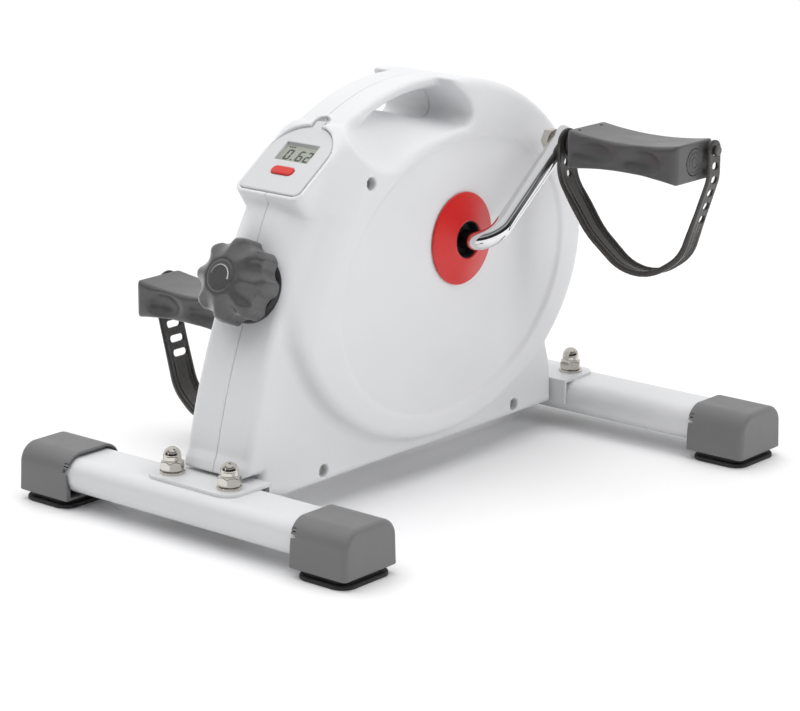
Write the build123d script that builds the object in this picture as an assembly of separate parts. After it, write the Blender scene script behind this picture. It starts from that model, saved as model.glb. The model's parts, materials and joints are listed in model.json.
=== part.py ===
from build123d import *
import os
from math import cos, radians, sin

# Pedal exerciser.  Millimetres, +X from the user's end to the rear, +Y to the left, +Z up.
# The origin is the middle of the footprint, on the floor.

# ---------------------------------------------------------------- driving dimensions
FOOT_X = 222.2              # stabiliser tubes lie this far in front of and behind the origin
FRONT_WIDTH = 350.0         # over the front end caps
REAR_WIDTH = 464.4          # over the rear end caps
TUBE_WIDE = 55.0            # stabiliser tube section
TUBE_TALL = 29.0
TUBE_R = 13.0
TUBE_WALL = 1.8
TUBE_Z = 13.0               # underside of the stabiliser tubes
CAP_LEN = 55.6
CAP_WALL = 3.0
CAP_BASE = 62.0             # width of an end cap at its foot
CAP_TOP_Z = 46.5
PAD_TALL = 8.0
BOLT_Y = 30.7               # carriage bolts, either side of the middle
BOLT_R = 5.0
FIT = 0.05                  # radial play of a running fit
GAP = 0.3                   # clearance between faces of different bodies

HALF_LOW = 34.0             # half width of the column and lower plates of the housing
HALF_DRUM = 49.0            # half width of the raised drum
SHELL_WALL = 2.6
DRUM_X, DRUM_Z = 25.0, 184.0        # middle of the oval drum
DRUM_A, DRUM_B = 187.0, 149.0       # its half length and half height
SHELL_FLOOR = 23.0          # lower edge of the housing
RECESS_X, RECESS_Z = 35.0, 169.5    # shallow oval panel sunk in the drum face
RECESS_A, RECESS_B = 147.0, 114.0
RECESS_TILT = 12.0
RECESS_DEPTH = 2.0
BAR_HALF = 26.0             # half width of the carrying bar
BAR_THICK = 16.0

AXLE_X, AXLE_Z = 43.0, 199.0        # crank axle
AXLE_R = 8.0
COVER_R = 38.8              # red axle covers
COVER_HOLE_R = 15.5
CRANK_DX, CRANK_DZ = 93.0, 72.0     # pedal axis from the crank axle, on the right side
CRANK_TUBE_R = 8.0
CRANK_ROOT_Y = 41.0
CRANK_Y = 78.0              # the arm lies this far from the middle plane

SPINDLE_R = 5.0
PEDAL_Y0, PEDAL_Y1 = 91.0, 212.5   # inner end of a pedal's hub and outer end of the pedal
TREAD_Y0 = 103.0                    # inner end of the part that the foot rests on
PEDAL_FRONT, PEDAL_REAR = 28.0, 28.0
PEDAL_HALF = 16.5           # half height at the ends
PEDAL_WAIST = 12.0          # half height in the middle
STRAP_T = 2.6

WHEEL_X, WHEEL_Z = -50.0, 131.0     # flywheel axle
WHEEL_R = 79.0
WHEEL_Y0, WHEEL_Y1 = -9.0, 7.0
PULLEY_R = 70.0
SMALL_PULLEY_R = 14.0
HUB_R = 9.0                 # sleeve between the flywheel and its pulley
PULLEY_Y0, PULLEY_Y1 = 24.0, 34.0
BELT_T = 3.0
PLATE_T = 3.0
PLATE_Y = (-19.0, 13.0)     # lower Y face of each upright plate
ARM_PIVOT_X, ARM_PIVOT_Z = -146.0, 76.0     # pivot of the magnet arm
ARM_R = 89.0                # inner radius of the magnet arm about the flywheel axle
MAGNET_T = 4.0

KNOB_X, KNOB_Z = -161.0, 189.0      # middle of the knob's base on the front of the column
KNOB_TILT = 22.8            # the knob's axis rises this much towards the user
KNOB_R = 34.0
KNOB_LOBES = 8

PANEL_LOW = (-143.0, 262.0)         # lower edge of the meter panel
PANEL_TILT = 34.7           # slope of the panel above the horizontal
PANEL_LEN = 73.0
PANEL_HALF = 31.0
POD_HALF = 35.0
METER_DEPTH = 12.0

PARTS = "parts"
os.makedirs(PARTS, exist_ok=True)


# ---------------------------------------------------------------- helpers
def save(node, shape):
    """Write one node, a solid or a group of separate solids."""
    export_step(shape, f"{PARTS}/{node}.step")


def group(solids):
    return Compound(children=list(solids))


def largest(shape):
    """The main solid of a cut, without the slivers beside it."""
    return shape.solids().sort_by(lambda solid: solid.volume)[-1]


def mirrored(shape):
    """The same piece on the other side of the middle plane."""
    return mirror(shape, about=Plane.XZ)


def slab(sketch, y0, y1):
    """A sketch in X and Z made solid from y0 up to y1."""
    return extrude(Plane.XZ.offset(-y1) * sketch, y1 - y0)


def rod_y(radius, y0, y1, x, z):
    return Pos(x, (y0 + y1) / 2, z) * Rot(90, 0, 0) * Cylinder(radius, y1 - y0)


def ring_y(outer, inner, y0, y1, x, z):
    return rod_y(outer, y0, y1, x, z) - rod_y(inner, y0, y1, x, z)


def hex_y(across_flats, y0, y1, x, z):
    head = slab(RegularPolygon(across_flats / 2, 6, major_radius=False), y0, y1)
    return Pos(x, 0, z) * head


def ellipse_xz(x, z, a, b, tilt=0.0):
    return Pos(x, z) * Rot(0, 0, tilt) * Ellipse(a, b)


STANDING = (Align.CENTER, Align.CENTER, Align.MIN)


def block(x0, x1, y0, y1, z0, z1):
    centre = Pos((x0 + x1) / 2, (y0 + y1) / 2, (z0 + z1) / 2)
    return centre * Box(x1 - x0, y1 - y0, z1 - z0)


def vertical_edges(shape):
    return shape.edges().filter_by(Axis.Z)


# ---------------------------------------------------------------- stabilisers, caps and pads
def tube_section(grow=0.0):
    middle = TUBE_Z + TUBE_TALL / 2
    return Pos(0, middle) * RectangleRounded(
        TUBE_WIDE + 2 * grow, TUBE_TALL + 2 * grow, TUBE_R + grow)


def stabilizer(x, width):
    half = width / 2 - CAP_WALL
    tube = slab(tube_section(), -half, half) - slab(tube_section(-TUBE_WALL), -half, half)
    for y in (-BOLT_Y, BOLT_Y):
        tube -= Pos(0, y, TUBE_Z + TUBE_TALL / 2) * Cylinder(BOLT_R + 0.5, TUBE_TALL + 2)
    return Pos(x, 0, 0) * tube


def cap_section(grow=0.0):
    low, high = CAP_BASE / 2 + grow, 29.0 + grow
    outline = make_face(Polyline(
        (-low, PAD_TALL), (low, PAD_TALL), (high, CAP_TOP_Z + grow), (-high, CAP_TOP_Z + grow),
        close=True))
    return fillet(outline.vertices().group_by(Axis.Y)[-1], 15.0)


def end_cap():
    """Right-hand cap: closed at y = 0 and open at y = CAP_LEN, where the tube goes in."""
    body = slab(cap_section(), 0, CAP_LEN)
    face = body.faces().sort_by(Axis.Y)[0]
    body = fillet(face.edges().filter_by(lambda e: e.center().Z > PAD_TALL + 1), 5.0)
    body -= slab(tube_section(0.1), CAP_WALL, CAP_LEN)
    rib_gap = 9.0
    for x in (-2 * rib_gap - 1, -rib_gap / 2, rib_gap + 1):
        body -= block(x, x + rib_gap, CAP_WALL + 4, CAP_LEN, PAD_TALL + 2, TUBE_Z + 3)
    return body


def foot_pad():
    """Rubber pad under a cap, with a wider lip where it meets the floor."""
    half_x, y0, y1 = CAP_BASE / 2 - 1.5, 1.5, CAP_LEN - 2.0
    lip = block(-half_x, half_x, y0, y1, 0, 3.2)
    lip = fillet(vertical_edges(lip), 13.0)
    neck = block(-half_x + 3, half_x - 3, y0 + 3, y1 - 3, 3.2, PAD_TALL)
    neck = fillet(vertical_edges(neck), 10.0)
    return lip + neck


def make_feet():
    ends = {
        "front_right": (-FOOT_X, -FRONT_WIDTH / 2, 1), "front_left": (-FOOT_X, FRONT_WIDTH / 2, -1),
        "rear_right": (FOOT_X, -REAR_WIDTH / 2, 1), "rear_left": (FOOT_X, REAR_WIDTH / 2, -1)}
    save("front_stabilizer", stabilizer(-FOOT_X, FRONT_WIDTH))
    save("rear_stabilizer", stabilizer(FOOT_X, REAR_WIDTH))
    for name, (x, y, side) in ends.items():
        cap, pad = end_cap(), foot_pad()
        if side < 0:
            cap, pad = mirrored(cap), mirrored(pad)
        save(f"{name}_end_cap", Pos(x, y, 0) * cap)
        save(f"{name}_foot_pad", Pos(x, y, 0) * pad)


# ---------------------------------------------------------------- brackets and their fasteners
BRACKET_T = 2.5
TUBE_TOP = TUBE_Z + TUBE_TALL
BRACKET_TOP = TUBE_TOP + BRACKET_T


def saddle(end):
    """Plate over a stabiliser tube with a flange down its inner side; end is -1 front, 1 rear."""
    inner = FOOT_X - TUBE_WIDE / 2 - GAP
    outer = FOOT_X + 17.0
    half_y = 47.0
    plate = block(inner - BRACKET_T, outer, -half_y, half_y, TUBE_TOP, BRACKET_TOP)
    corners = vertical_edges(plate).group_by(Axis.X)[-1]
    plate = fillet(corners, 12.0)
    flange = block(inner - BRACKET_T, inner, -half_y, half_y, SHELL_FLOOR, TUBE_TOP)
    plate += flange
    for y in (-BOLT_Y, BOLT_Y):
        plate -= Pos(FOOT_X, y, BRACKET_TOP) * Cylinder(BOLT_R + 0.5, 4 * BRACKET_T)
    return plate if end > 0 else mirror(plate, about=Plane.YZ)


WASHER_T = 2.0
NUT_FLATS = 17.0
NUT_HEX = 8.0
NUT_TALL = 19.3
NUT_DOME_R = 7.2


def acorn_nut():
    """Domed cap nut standing on z = 0."""
    hexagon = extrude(RegularPolygon(NUT_FLATS / 2, 6, major_radius=False), NUT_HEX)
    skirt = Pos(0, 0, NUT_HEX) * Cone(NUT_FLATS / 2 - 0.2, NUT_DOME_R + 0.2, 4.0, align=STANDING)
    neck_top = NUT_TALL - NUT_DOME_R
    barrel = Pos(0, 0, NUT_HEX) * Cylinder(NUT_DOME_R, neck_top - NUT_HEX, align=STANDING)
    dome = Pos(0, 0, neck_top) * Sphere(NUT_DOME_R)
    bore = Cylinder(BOLT_R + 0.02, 14.0, align=STANDING)
    return hexagon + skirt + barrel + dome - bore


def carriage_bolt():
    """Bolt up through a stabiliser: a low round head under the tube, its end inside the nut."""
    head_t = 3.5
    head = Pos(0, 0, TUBE_Z - head_t) * Cone(7.0, 10.0, head_t, align=STANDING)
    length = BRACKET_TOP + WASHER_T + 12.0 - TUBE_Z
    shank = Pos(0, 0, TUBE_Z) * Cylinder(BOLT_R, length, align=STANDING)
    return head + shank


def make_fasteners():
    spots = [(x, y) for x in (-FOOT_X, FOOT_X) for y in (-BOLT_Y, BOLT_Y)]
    washer = Cylinder(10.2, WASHER_T) - Cylinder(BOLT_R + 0.3, WASHER_T)
    save("carriage_bolts", group(Pos(x, y, 0) * carriage_bolt() for x, y in spots))
    save("washers", group(Pos(x, y, BRACKET_TOP + WASHER_T / 2) * washer for x, y in spots))
    save("acorn_nuts", group(Pos(x, y, BRACKET_TOP + WASHER_T) * acorn_nut() for x, y in spots))


# ---------------------------------------------------------------- main frame
RAIL_HALF = 20.0
BARREL_Y = (-36.0, 20.0)    # ends of the tube that holds the crank bearings
BEARING_R, BEARING_T = 16.0, 10.0


def make_frame():
    inner = FOOT_X - TUBE_WIDE / 2 - GAP - BRACKET_T
    rail = block(-inner, inner, -RAIL_HALF, RAIL_HALF, SHELL_FLOOR, TUBE_TOP)
    t = TUBE_WALL
    rail -= block(-inner, inner, -RAIL_HALF + t, RAIL_HALF - t, SHELL_FLOOR + t, TUBE_TOP - t)
    outline = make_face(Polyline(
        (-158, TUBE_TOP), (-158, 84), (-62, 156), (18, 224), (66, 224), (68, 180), (110, TUBE_TOP),
        close=True))
    outline = fillet(outline.vertices().sort_by(Axis.Y)[2:], 8.0)
    outline -= Pos(35, 100) * Circle(22)
    frame = rail
    for y in PLATE_Y:
        frame += slab(outline, y, y + PLATE_T)
    frame += rod_y(20.0, *BARREL_Y, AXLE_X, AXLE_Z)
    frame -= rod_y(BEARING_R, *BARREL_Y, AXLE_X, AXLE_Z)
    frame -= rod_y(SPINDLE_R, -30, 0, WHEEL_X, WHEEL_Z)
    frame -= rod_y(HUB_R + 1.0, 0, 30, WHEEL_X, WHEEL_Z)
    frame -= rod_y(4.0, -30, 30, ARM_PIVOT_X, ARM_PIVOT_Z)
    save("main_frame", frame)
    save("front_bracket", saddle(-1))
    save("rear_bracket", saddle(1))
    save("axle_bearings", group(
        ring_y(BEARING_R, AXLE_R + FIT, y, y + BEARING_T, AXLE_X, AXLE_Z)
        for y in (BARREL_Y[0], BARREL_Y[1] - BEARING_T)))


# ---------------------------------------------------------------- housing
def drum_outline(grow=0.0):
    return ellipse_xz(DRUM_X, DRUM_Z, DRUM_A + grow, DRUM_B + grow)


FRONT_FOOT = (-203.5, 62.0)     # the column's front face is an arc through these three points
FRONT_WAIST = (-175.5, 154.0)
FRONT_BROW = (-133.0, 243.0)


def ahead_of_column():
    """Area in front of the column, which the middle of the drum stays behind."""
    return make_face(ThreePointArc(FRONT_FOOT, FRONT_WAIST, FRONT_BROW)
                     + Polyline(FRONT_BROW, (-300, FRONT_BROW[1]), (-300, FRONT_FOOT[1]), FRONT_FOOT))


def column_outline(shrink=0.0):
    """Front column, lower plates and the bed under the meter, in X and Z."""
    s = shrink
    front = [(-209 + s, 47.2), (-207 + s, 55), (FRONT_FOOT[0] + s, FRONT_FOOT[1])]
    brow = (FRONT_BROW[0] + s, FRONT_BROW[1])
    arc = ThreePointArc(front[-1], (FRONT_WAIST[0] + s, FRONT_WAIST[1]), brow)
    top = [(-143 + s, 262 - 0.3 * s), (-83, 303.6 - s)]
    rear = [(150, 150), (183 - s, 88), (183 - s, 80), (188 - s, 64), (190 - s, 50),
            (191 - s, SHELL_FLOOR)]
    foot = [(-160, SHELL_FLOOR), (-188, 30), (-188, 47.2)]
    lines = Polyline(front) + arc + Polyline([brow] + top + rear + foot + [front[0]])
    return make_face(lines)


def handle_outline(grow):
    """Hole for the hand under the carrying bar."""
    tip = (-60 - 4 * grow, 296 - grow)
    lower = Spline(tip, (0, 300 - grow), (40, 294 - grow), (56, 293 - grow))
    rear = ThreePointArc((56, 293 - grow), (66 + grow, 303), (52, 316 + grow))
    upper = Spline((52, 316 + grow), (0, 314.5 + grow), tip)
    return make_face(lower + rear + upper)


def scoop_outline(grow):
    """Edge of the scooped side under and over the bar; the bar stands in its middle."""
    lower = Spline((-102, 308 - grow), (-84, 289 - grow), (-60, 275 - grow), (-31, 275 - grow),
                   (12, 287 - grow), (54, 292 - grow))
    rear = Spline((54, 292 - grow), (63 + grow, 303), (46 + grow, 321), (26, 345))
    top = Polyline((26, 345), (-102, 345), (-102, 308 - grow))
    return make_face(lower + rear + top)


def panel_plane():
    slope = radians(PANEL_TILT)
    return Plane(origin=(PANEL_LOW[0], 0, PANEL_LOW[1]), x_dir=(cos(slope), 0, sin(slope)),
                 z_dir=(-sin(slope), 0, cos(slope)))


def arch(half, low=0.0, top=PANEL_LEN, corner=5.0):
    """Panel outline in its own plane: a straight lower edge and a round upper end."""
    middle = top - half
    outline = Pos((low + middle) / 2, 0) * Rectangle(middle - low, 2 * half)
    outline += Pos(middle, 0) * Circle(half)
    return fillet(outline.vertices().group_by(Axis.X)[0], corner)


def arch_solid(half, low, top, z0, z1, corner=5.0):
    sketch = arch(half, low, top, corner)
    return extrude(panel_plane().offset(z1) * sketch, z0 - z1)


POD_EDGE = POD_HALF - PANEL_HALF
POD_DEEP = 21.0
LATCH_U = PANEL_LEN + 5.5   # middle of the round finger recess above the panel
LATCH_R = 10.0


def on_panel(u, v, z, shape):
    return panel_plane() * Pos(u, v, z) * shape


def pod():
    body = arch_solid(POD_HALF, -POD_EDGE, PANEL_LEN + POD_EDGE, -POD_DEEP, 0, 8.0)
    return body + on_panel(LATCH_U, 0, -POD_DEEP / 2 + 0.4, Cylinder(LATCH_R, POD_DEEP))


def meter_bed(grow=0.0):
    """Space that the meter drops into, with the finger recess at its upper end."""
    deep = METER_DEPTH + grow
    bed = arch_solid(PANEL_HALF + GAP + grow, -GAP - grow, PANEL_LEN + GAP + grow, -deep, 5, 5.0 + grow)
    dish = on_panel(LATCH_U, 0, 2.5 - (4 + grow) / 2, Cylinder(LATCH_R - 2.2 + grow, 9 + grow))
    return bed + dish


def right_half():
    """Outer form and hollow core of the right half of the housing."""
    low = slab(column_outline(), -HALF_LOW, 0)
    drum = slab(drum_outline(), -HALF_DRUM, 0)
    drum -= block(-300, 300, -HALF_DRUM, 0, -50, SHELL_FLOOR)
    drum -= slab(Pos(1, 0) * ahead_of_column(), -HALF_LOW, 0)
    rim = drum.faces().filter_by(Axis.Y).sort_by(Axis.Y)[0]
    drum = fillet(rim.edges().filter_by(lambda e: e.length > 400), 9.0)
    near = block(-300, 300, -HALF_DRUM, 0, 0, 400)
    recess = slab(ellipse_xz(RECESS_X, RECESS_Z, RECESS_A, RECESS_B, RECESS_TILT),
                  -HALF_DRUM, -HALF_DRUM + RECESS_DEPTH)
    scoop = slab(scoop_outline(0), -HALF_DRUM - 1, -BAR_HALF)
    hole = slab(handle_outline(0), -HALF_DRUM, 0)
    body = low + drum + (pod() & near) - recess - scoop - hole - (meter_bed() & near)

    w = SHELL_WALL
    core = slab(column_outline(w), -HALF_LOW + w, 0)
    drum_core = slab(drum_outline(-w), -HALF_DRUM + RECESS_DEPTH + w, 0)
    drum_core -= slab(Pos(w, 0) * ahead_of_column(), -HALF_LOW - w, 0)
    core += drum_core - block(-300, 300, -HALF_DRUM, 0, -50, SHELL_FLOOR)
    core -= slab(scoop_outline(w), -HALF_DRUM - 1, -BAR_HALF + w)
    core -= slab(handle_outline(w), -HALF_DRUM, 0)
    core -= meter_bed(w) & near
    return body, core


def knob_plane():
    tilt = radians(KNOB_TILT)
    return Plane(origin=(KNOB_X, 0, KNOB_Z), x_dir=(sin(tilt), 0, cos(tilt)),
                 z_dir=(-cos(tilt), 0, sin(tilt)))


def on_knob(z0, z1, shape_radius):
    return knob_plane() * Pos(0, 0, (z0 + z1) / 2) * Cylinder(shape_radius, z1 - z0)


UPPER_SCREW = (-74.0, 263.7)
LOWER_SCREWS = ((-114.7, 33.0), (136.4, 33.0))
RECESS_R = 5.5
SCREW_R = 2.0
HEAD_R, HEAD_T = 4.0, 3.0


def screw_y(y_head, y_tip, x, z):
    """Screw with the face of its head at y_head and its tip at y_tip."""
    way = 1 if y_tip > y_head else -1
    under = y_head + way * HEAD_T
    head = rod_y(HEAD_R, min(y_head, under), max(y_head, under), x, z)
    return head + rod_y(SCREW_R, min(under, y_tip), max(under, y_tip), x, z)


def make_shells():
    body, core = right_half()
    near = block(-300, 300, -HALF_DRUM, 0, 0, 400)
    shell = body - core
    ux, uz = UPPER_SCREW
    shell += rod_y(7.5, -HALF_DRUM, 0, ux, uz)
    for x, z in LOWER_SCREWS:
        shell += rod_y(7.5, -HALF_LOW, -RAIL_HALF, x, z)
    shell -= rod_y(COVER_HOLE_R + 2.0, -HALF_DRUM, -30, AXLE_X, AXLE_Z)
    shell -= block(180, 195, -RAIL_HALF - 1, 0, SHELL_FLOOR, TUBE_TOP + 1)
    shell -= on_knob(-8, 8, 12.3) & near
    plain = shell
    for x, z in LOWER_SCREWS:
        plain -= rod_y(RECESS_R, -HALF_LOW, -HALF_LOW + 8, x, z)
        plain -= rod_y(SCREW_R + 0.2, -HALF_LOW, -RAIL_HALF, x, z)
    right = plain - rod_y(RECESS_R, -HALF_DRUM, -HALF_DRUM + 10, ux, uz)
    right -= rod_y(SCREW_R + 0.2, -HALF_DRUM, 0, ux, uz)
    left = mirrored(plain) - rod_y(SCREW_R, 0, 14, ux, uz)
    save("right_shell", largest(right))
    save("left_shell", largest(left))
    screws = [screw_y(-HALF_DRUM + 10 - HEAD_T, 14, ux, uz)]
    for x, z in LOWER_SCREWS:
        screws.append(screw_y(-HALF_LOW + 8 - HEAD_T, -RAIL_HALF, x, z))
        screws.append(screw_y(HALF_LOW - 8 + HEAD_T, RAIL_HALF, x, z))
    save("shell_screws", group(screws))


# ---------------------------------------------------------------- meter
WINDOW_U, WINDOW_LONG, WINDOW_WIDE = 43.6, 20.0, 34.0
BUTTON_U, BUTTON_WIDE, BUTTON_LONG = 22.5, 23.0, 9.0
BUTTON_TRAVEL = 1.2
FACE_UP = 1.0               # the panel's face stands this far proud of the pod


def make_meter():
    top = FACE_UP
    case = arch_solid(PANEL_HALF, 0, PANEL_LEN, -METER_DEPTH + 2.2, top)
    case -= arch_solid(PANEL_HALF - 2, 2, PANEL_LEN - 2, -METER_DEPTH + 2.2, top - 2.4, 3.0)
    tab = on_panel(PANEL_LEN + 2.0, 0, top - 1.2, Box(10, 9, 2.4))
    case += tab
    case -= on_panel(WINDOW_U, 0, 0, Box(WINDOW_LONG, WINDOW_WIDE, 8))
    slot = Rot(0, 0, 90) * SlotOverall(BUTTON_WIDE, BUTTON_LONG)
    case -= on_panel(BUTTON_U, 0, 0, extrude(slot, 6, both=True))
    save("meter_case", case)
    save("meter_back", arch_solid(PANEL_HALF, 0, PANEL_LEN, -METER_DEPTH + 0.2, -METER_DEPTH + 2.2))
    lens = Box(WINDOW_LONG - 0.2, WINDOW_WIDE - 0.2, 0.8)
    save("meter_lens", on_panel(WINDOW_U, 0, top - 1.2, lens))
    display = Box(WINDOW_LONG + 3, WINDOW_WIDE + 3, 1.6)
    save("lcd_panel", on_panel(WINDOW_U, 0, top - 3.6, display))
    board_u = 34.0
    save("meter_board", on_panel(board_u, 0, top - 6.4, Box(50, 44, 1.6)))
    save("coin_cell", on_panel(board_u, 0, top - 9.0, Cylinder(10, 2.6)))
    pill = extrude(Rot(0, 0, 90) * SlotOverall(BUTTON_WIDE - 0.7, BUTTON_LONG - 0.7), 4.6)
    pill = fillet(pill.faces().sort_by(Axis.Z)[-1].edges(), 0.8)
    flange = extrude(Rot(0, 0, 90) * SlotOverall(BUTTON_WIDE + 1.6, BUTTON_LONG + 1.6), -0.8)
    save("reset_button", on_panel(BUTTON_U, 0, top - 3.3, pill + flange))


# ---------------------------------------------------------------- tension control
KNOB_BACK, KNOB_FRONT = 7.0, 41.0      # along the knob's axis from its base
SHAFT_R = 4.0


def make_tension():
    body, _ = right_half()
    flange = largest(on_knob(-3, KNOB_BACK - 1, 30.0) - body - mirrored(body))
    sleeve = on_knob(-14, KNOB_BACK - 1, 12.0)
    save("tension_housing", flange + sleeve - on_knob(-20, 8, SHAFT_R + FIT))
    outline = Polyline((0, KNOB_FRONT), (13.5, KNOB_FRONT), (24.5, 36.5)) + ThreePointArc(
        (24.5, 36.5), (31.5, 29.5), (KNOB_R, 20)) + Polyline(
        (KNOB_R, 20), (KNOB_R - 1.5, KNOB_BACK), (0, KNOB_BACK), (0, KNOB_FRONT))
    knob = revolve(Plane.XZ * make_face(outline), Axis.Z)
    flute = Pos(KNOB_R + 5.5, 0, 24) * Rot(0, -24, 0) * Cylinder(9.0, 60)
    for n in range(KNOB_LOBES):
        knob -= Rot(0, 0, (n + 0.5) * 360 / KNOB_LOBES) * flute
    hollow = Cylinder(26, 16, align=STANDING) - Cylinder(9, 16, align=STANDING)
    bore_deep = 26.0
    bore = Cylinder(SHAFT_R, bore_deep, align=STANDING)
    knob -= Pos(0, 0, KNOB_BACK) * (hollow + bore)
    save("tension_knob", knob_plane() * knob)
    save("knob_spindle", on_knob(-17, KNOB_BACK + bore_deep, SHAFT_R))
    save("cable_drum", on_knob(-24.0, -14.3, 11.0) - on_knob(-17.0, -14.0, SHAFT_R))


def arm_sector(r0, r1, a0, a1, y0, y1):
    """Part of a ring about the flywheel axle between two angles in degrees."""
    arc_in = CenterArc((WHEEL_X, WHEEL_Z), r0, a0, a1 - a0)
    arc_out = CenterArc((WHEEL_X, WHEEL_Z), r1, a0, a1 - a0)
    sides = [Line(arc_in @ 0, arc_out @ 0), Line(arc_in @ 1, arc_out @ 1)]
    return slab(make_face([arc_in.edge(), arc_out.edge()] + [s.edge() for s in sides]), y0, y1)


def make_brake():
    y0, y1 = WHEEL_Y0 - 2, WHEEL_Y1 + 2
    arm = arm_sector(ARM_R, ARM_R + 3.5, 148, 206, y0, y1)
    lug = make_face(Polyline((-128, 90), (-136, 96), (-152, 82), (-150, 70), (-141, 69), close=True))
    arm += slab(lug, y0, y1)
    arm -= rod_y(4.0, y0, y1, ARM_PIVOT_X, ARM_PIVOT_Z)
    save("magnet_arm", arm)
    save("brake_magnets", group(
        arm_sector(ARM_R - MAGNET_T, ARM_R, a, a + 9, y0 + 2, y1 - 2) for a in (152, 164, 176, 188)))
    save("arm_pivot_pin", rod_y(4.0 - FIT, -22, 19, ARM_PIVOT_X, ARM_PIVOT_Z))
    coil = Helix(pitch=1.2, height=2.6, radius=6.0)
    wire = sweep(Plane(origin=coil @ 0, z_dir=coil % 0) * Circle(0.45), coil)
    save("return_spring", Pos(ARM_PIVOT_X, 12.4, ARM_PIVOT_Z) * Rot(90, 0, 0) * wire)


# ---------------------------------------------------------------- drive
def belt_loop(grow):
    big = Pos(AXLE_X, AXLE_Z) * Circle(PULLEY_R + grow)
    small = Pos(WHEEL_X, WHEEL_Z) * Circle(SMALL_PULLEY_R + grow)
    return make_hull(big.edges() + small.edges())


def make_drive():
    save("crank_axle", rod_y(AXLE_R, -CRANK_ROOT_Y, CRANK_ROOT_Y, AXLE_X, AXLE_Z)
         + rod_y(SPIGOT_R, -CRANK_ROOT_Y - 18, CRANK_ROOT_Y + 18, AXLE_X, AXLE_Z))
    pulley = rod_y(PULLEY_R, PULLEY_Y0, PULLEY_Y1, AXLE_X, AXLE_Z)
    for y0, y1 in ((PULLEY_Y0, 27), (31, PULLEY_Y1)):
        pulley -= ring_y(62, 18, y0, y1, AXLE_X, AXLE_Z)
    pulley -= rod_y(AXLE_R, PULLEY_Y0, PULLEY_Y1, AXLE_X, AXLE_Z)
    save("drive_pulley", pulley)
    save("sensor_magnet", rod_y(4.0, 25.4, 27, AXLE_X + 40, AXLE_Z))
    save("speed_sensor", block(AXLE_X - 28, AXLE_X - 14, 16, 24, AXLE_Z - 40, AXLE_Z - 30))
    belt = slab(belt_loop(GAP + BELT_T) - belt_loop(GAP), PULLEY_Y0 + 1, PULLEY_Y1 - 1)
    save("drive_belt", belt)

    wheel = rod_y(WHEEL_R, WHEEL_Y0, WHEEL_Y1, WHEEL_X, WHEEL_Z)
    for y0, y1 in ((WHEEL_Y0, -4), (2, WHEEL_Y1)):
        wheel -= ring_y(64, 24, y0, y1, WHEEL_X, WHEEL_Z)
    wheel -= rod_y(13, WHEEL_Y0, WHEEL_Y1, WHEEL_X, WHEEL_Z)
    save("flywheel", wheel)
    save("flywheel_bearings", group(
        ring_y(13, SPINDLE_R + FIT, y, y + 8, WHEEL_X, WHEEL_Z) for y in (WHEEL_Y0, WHEEL_Y1 - 8)))
    hub = ring_y(HUB_R, 6, WHEEL_Y1, PULLEY_Y1, WHEEL_X, WHEEL_Z)
    save("flywheel_pulley", hub + ring_y(SMALL_PULLEY_R, 6, PULLEY_Y0, PULLEY_Y1, WHEEL_X, WHEEL_Z))
    axle = rod_y(SPINDLE_R, -29, 41.5, WHEEL_X, WHEEL_Z)
    save("flywheel_axle", axle)
    nuts = [hex_y(16, -19 - 8, -19, WHEEL_X, WHEEL_Z), hex_y(16, -16, -10, WHEEL_X, WHEEL_Z),
            hex_y(16, 34.5, 41, WHEEL_X, WHEEL_Z)]
    save("flywheel_axle_nuts", group(n - rod_y(SPINDLE_R, -40, 50, WHEEL_X, WHEEL_Z) for n in nuts))


# ---------------------------------------------------------------- axle covers and cranks
SPIGOT_R = 5.4              # turned-down end of the axle inside a crank
SEAT_Y = CRANK_Y - CRANK_TUBE_R + 1.0    # spot face for the pedal bolt on a crank


def cover_profile():
    """Radius against distance from the middle plane."""
    floor_y = HALF_DRUM - RECESS_DEPTH
    return make_face(Polyline(
        (COVER_R, floor_y), (COVER_R, floor_y + 1.4), (COVER_HOLE_R + 0.8, floor_y + 8.0),
        (COVER_HOLE_R, floor_y + 7.6), (COVER_HOLE_R, floor_y - 6), (COVER_HOLE_R + 1.6, floor_y - 6),
        (COVER_HOLE_R + 1.6, floor_y + 5.0), (COVER_R - 3, floor_y), close=True))


def make_covers():
    left = Pos(AXLE_X, 0, AXLE_Z) * revolve(cover_profile(), Axis.Y)
    save("left_axle_cover", left)
    save("right_axle_cover", mirrored(left))
    ring = ring_y(COVER_HOLE_R, AXLE_R + 1.2, 42, 44, AXLE_X, AXLE_Z)
    lip = ring_y(AXLE_R + 3.2, AXLE_R + 1.2, 44, 47, AXLE_X, AXLE_Z)
    dust_ring = ring + lip
    save("dust_rings", group([dust_ring, mirrored(dust_ring)]))


def crank(side):
    """Bent tube; side is -1 on the right and 1 on the left."""
    way = -side                 # the right crank points up and to the rear
    root = Vector(AXLE_X, side * CRANK_ROOT_Y, AXLE_Z)
    bend = Vector(AXLE_X, side * CRANK_Y, AXLE_Z)
    pedal = Vector(AXLE_X + way * CRANK_DX, side * CRANK_Y, AXLE_Z + way * CRANK_DZ)
    end = bend + (pedal - bend) * 1.1
    path = FilletPolyline(root, bend, end, radius=20)
    tube = sweep(Plane(origin=root, z_dir=(0, side, 0)) * Circle(CRANK_TUBE_R), path)
    y0, y1 = sorted((side * CRANK_ROOT_Y, side * (CRANK_ROOT_Y + 18.2)))
    tube -= rod_y(SPIGOT_R, y0, y1, AXLE_X, AXLE_Z)
    for y_near, y_far, radius in ((60, SEAT_Y, 10.5), (60, 110, SPINDLE_R)):
        low, high = sorted((side * y_near, side * y_far))
        tube -= rod_y(radius, low, high, pedal.X, pedal.Z)
    return tube


def pedal_spot(side):
    return AXLE_X - side * CRANK_DX, AXLE_Z - side * CRANK_DZ


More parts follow.
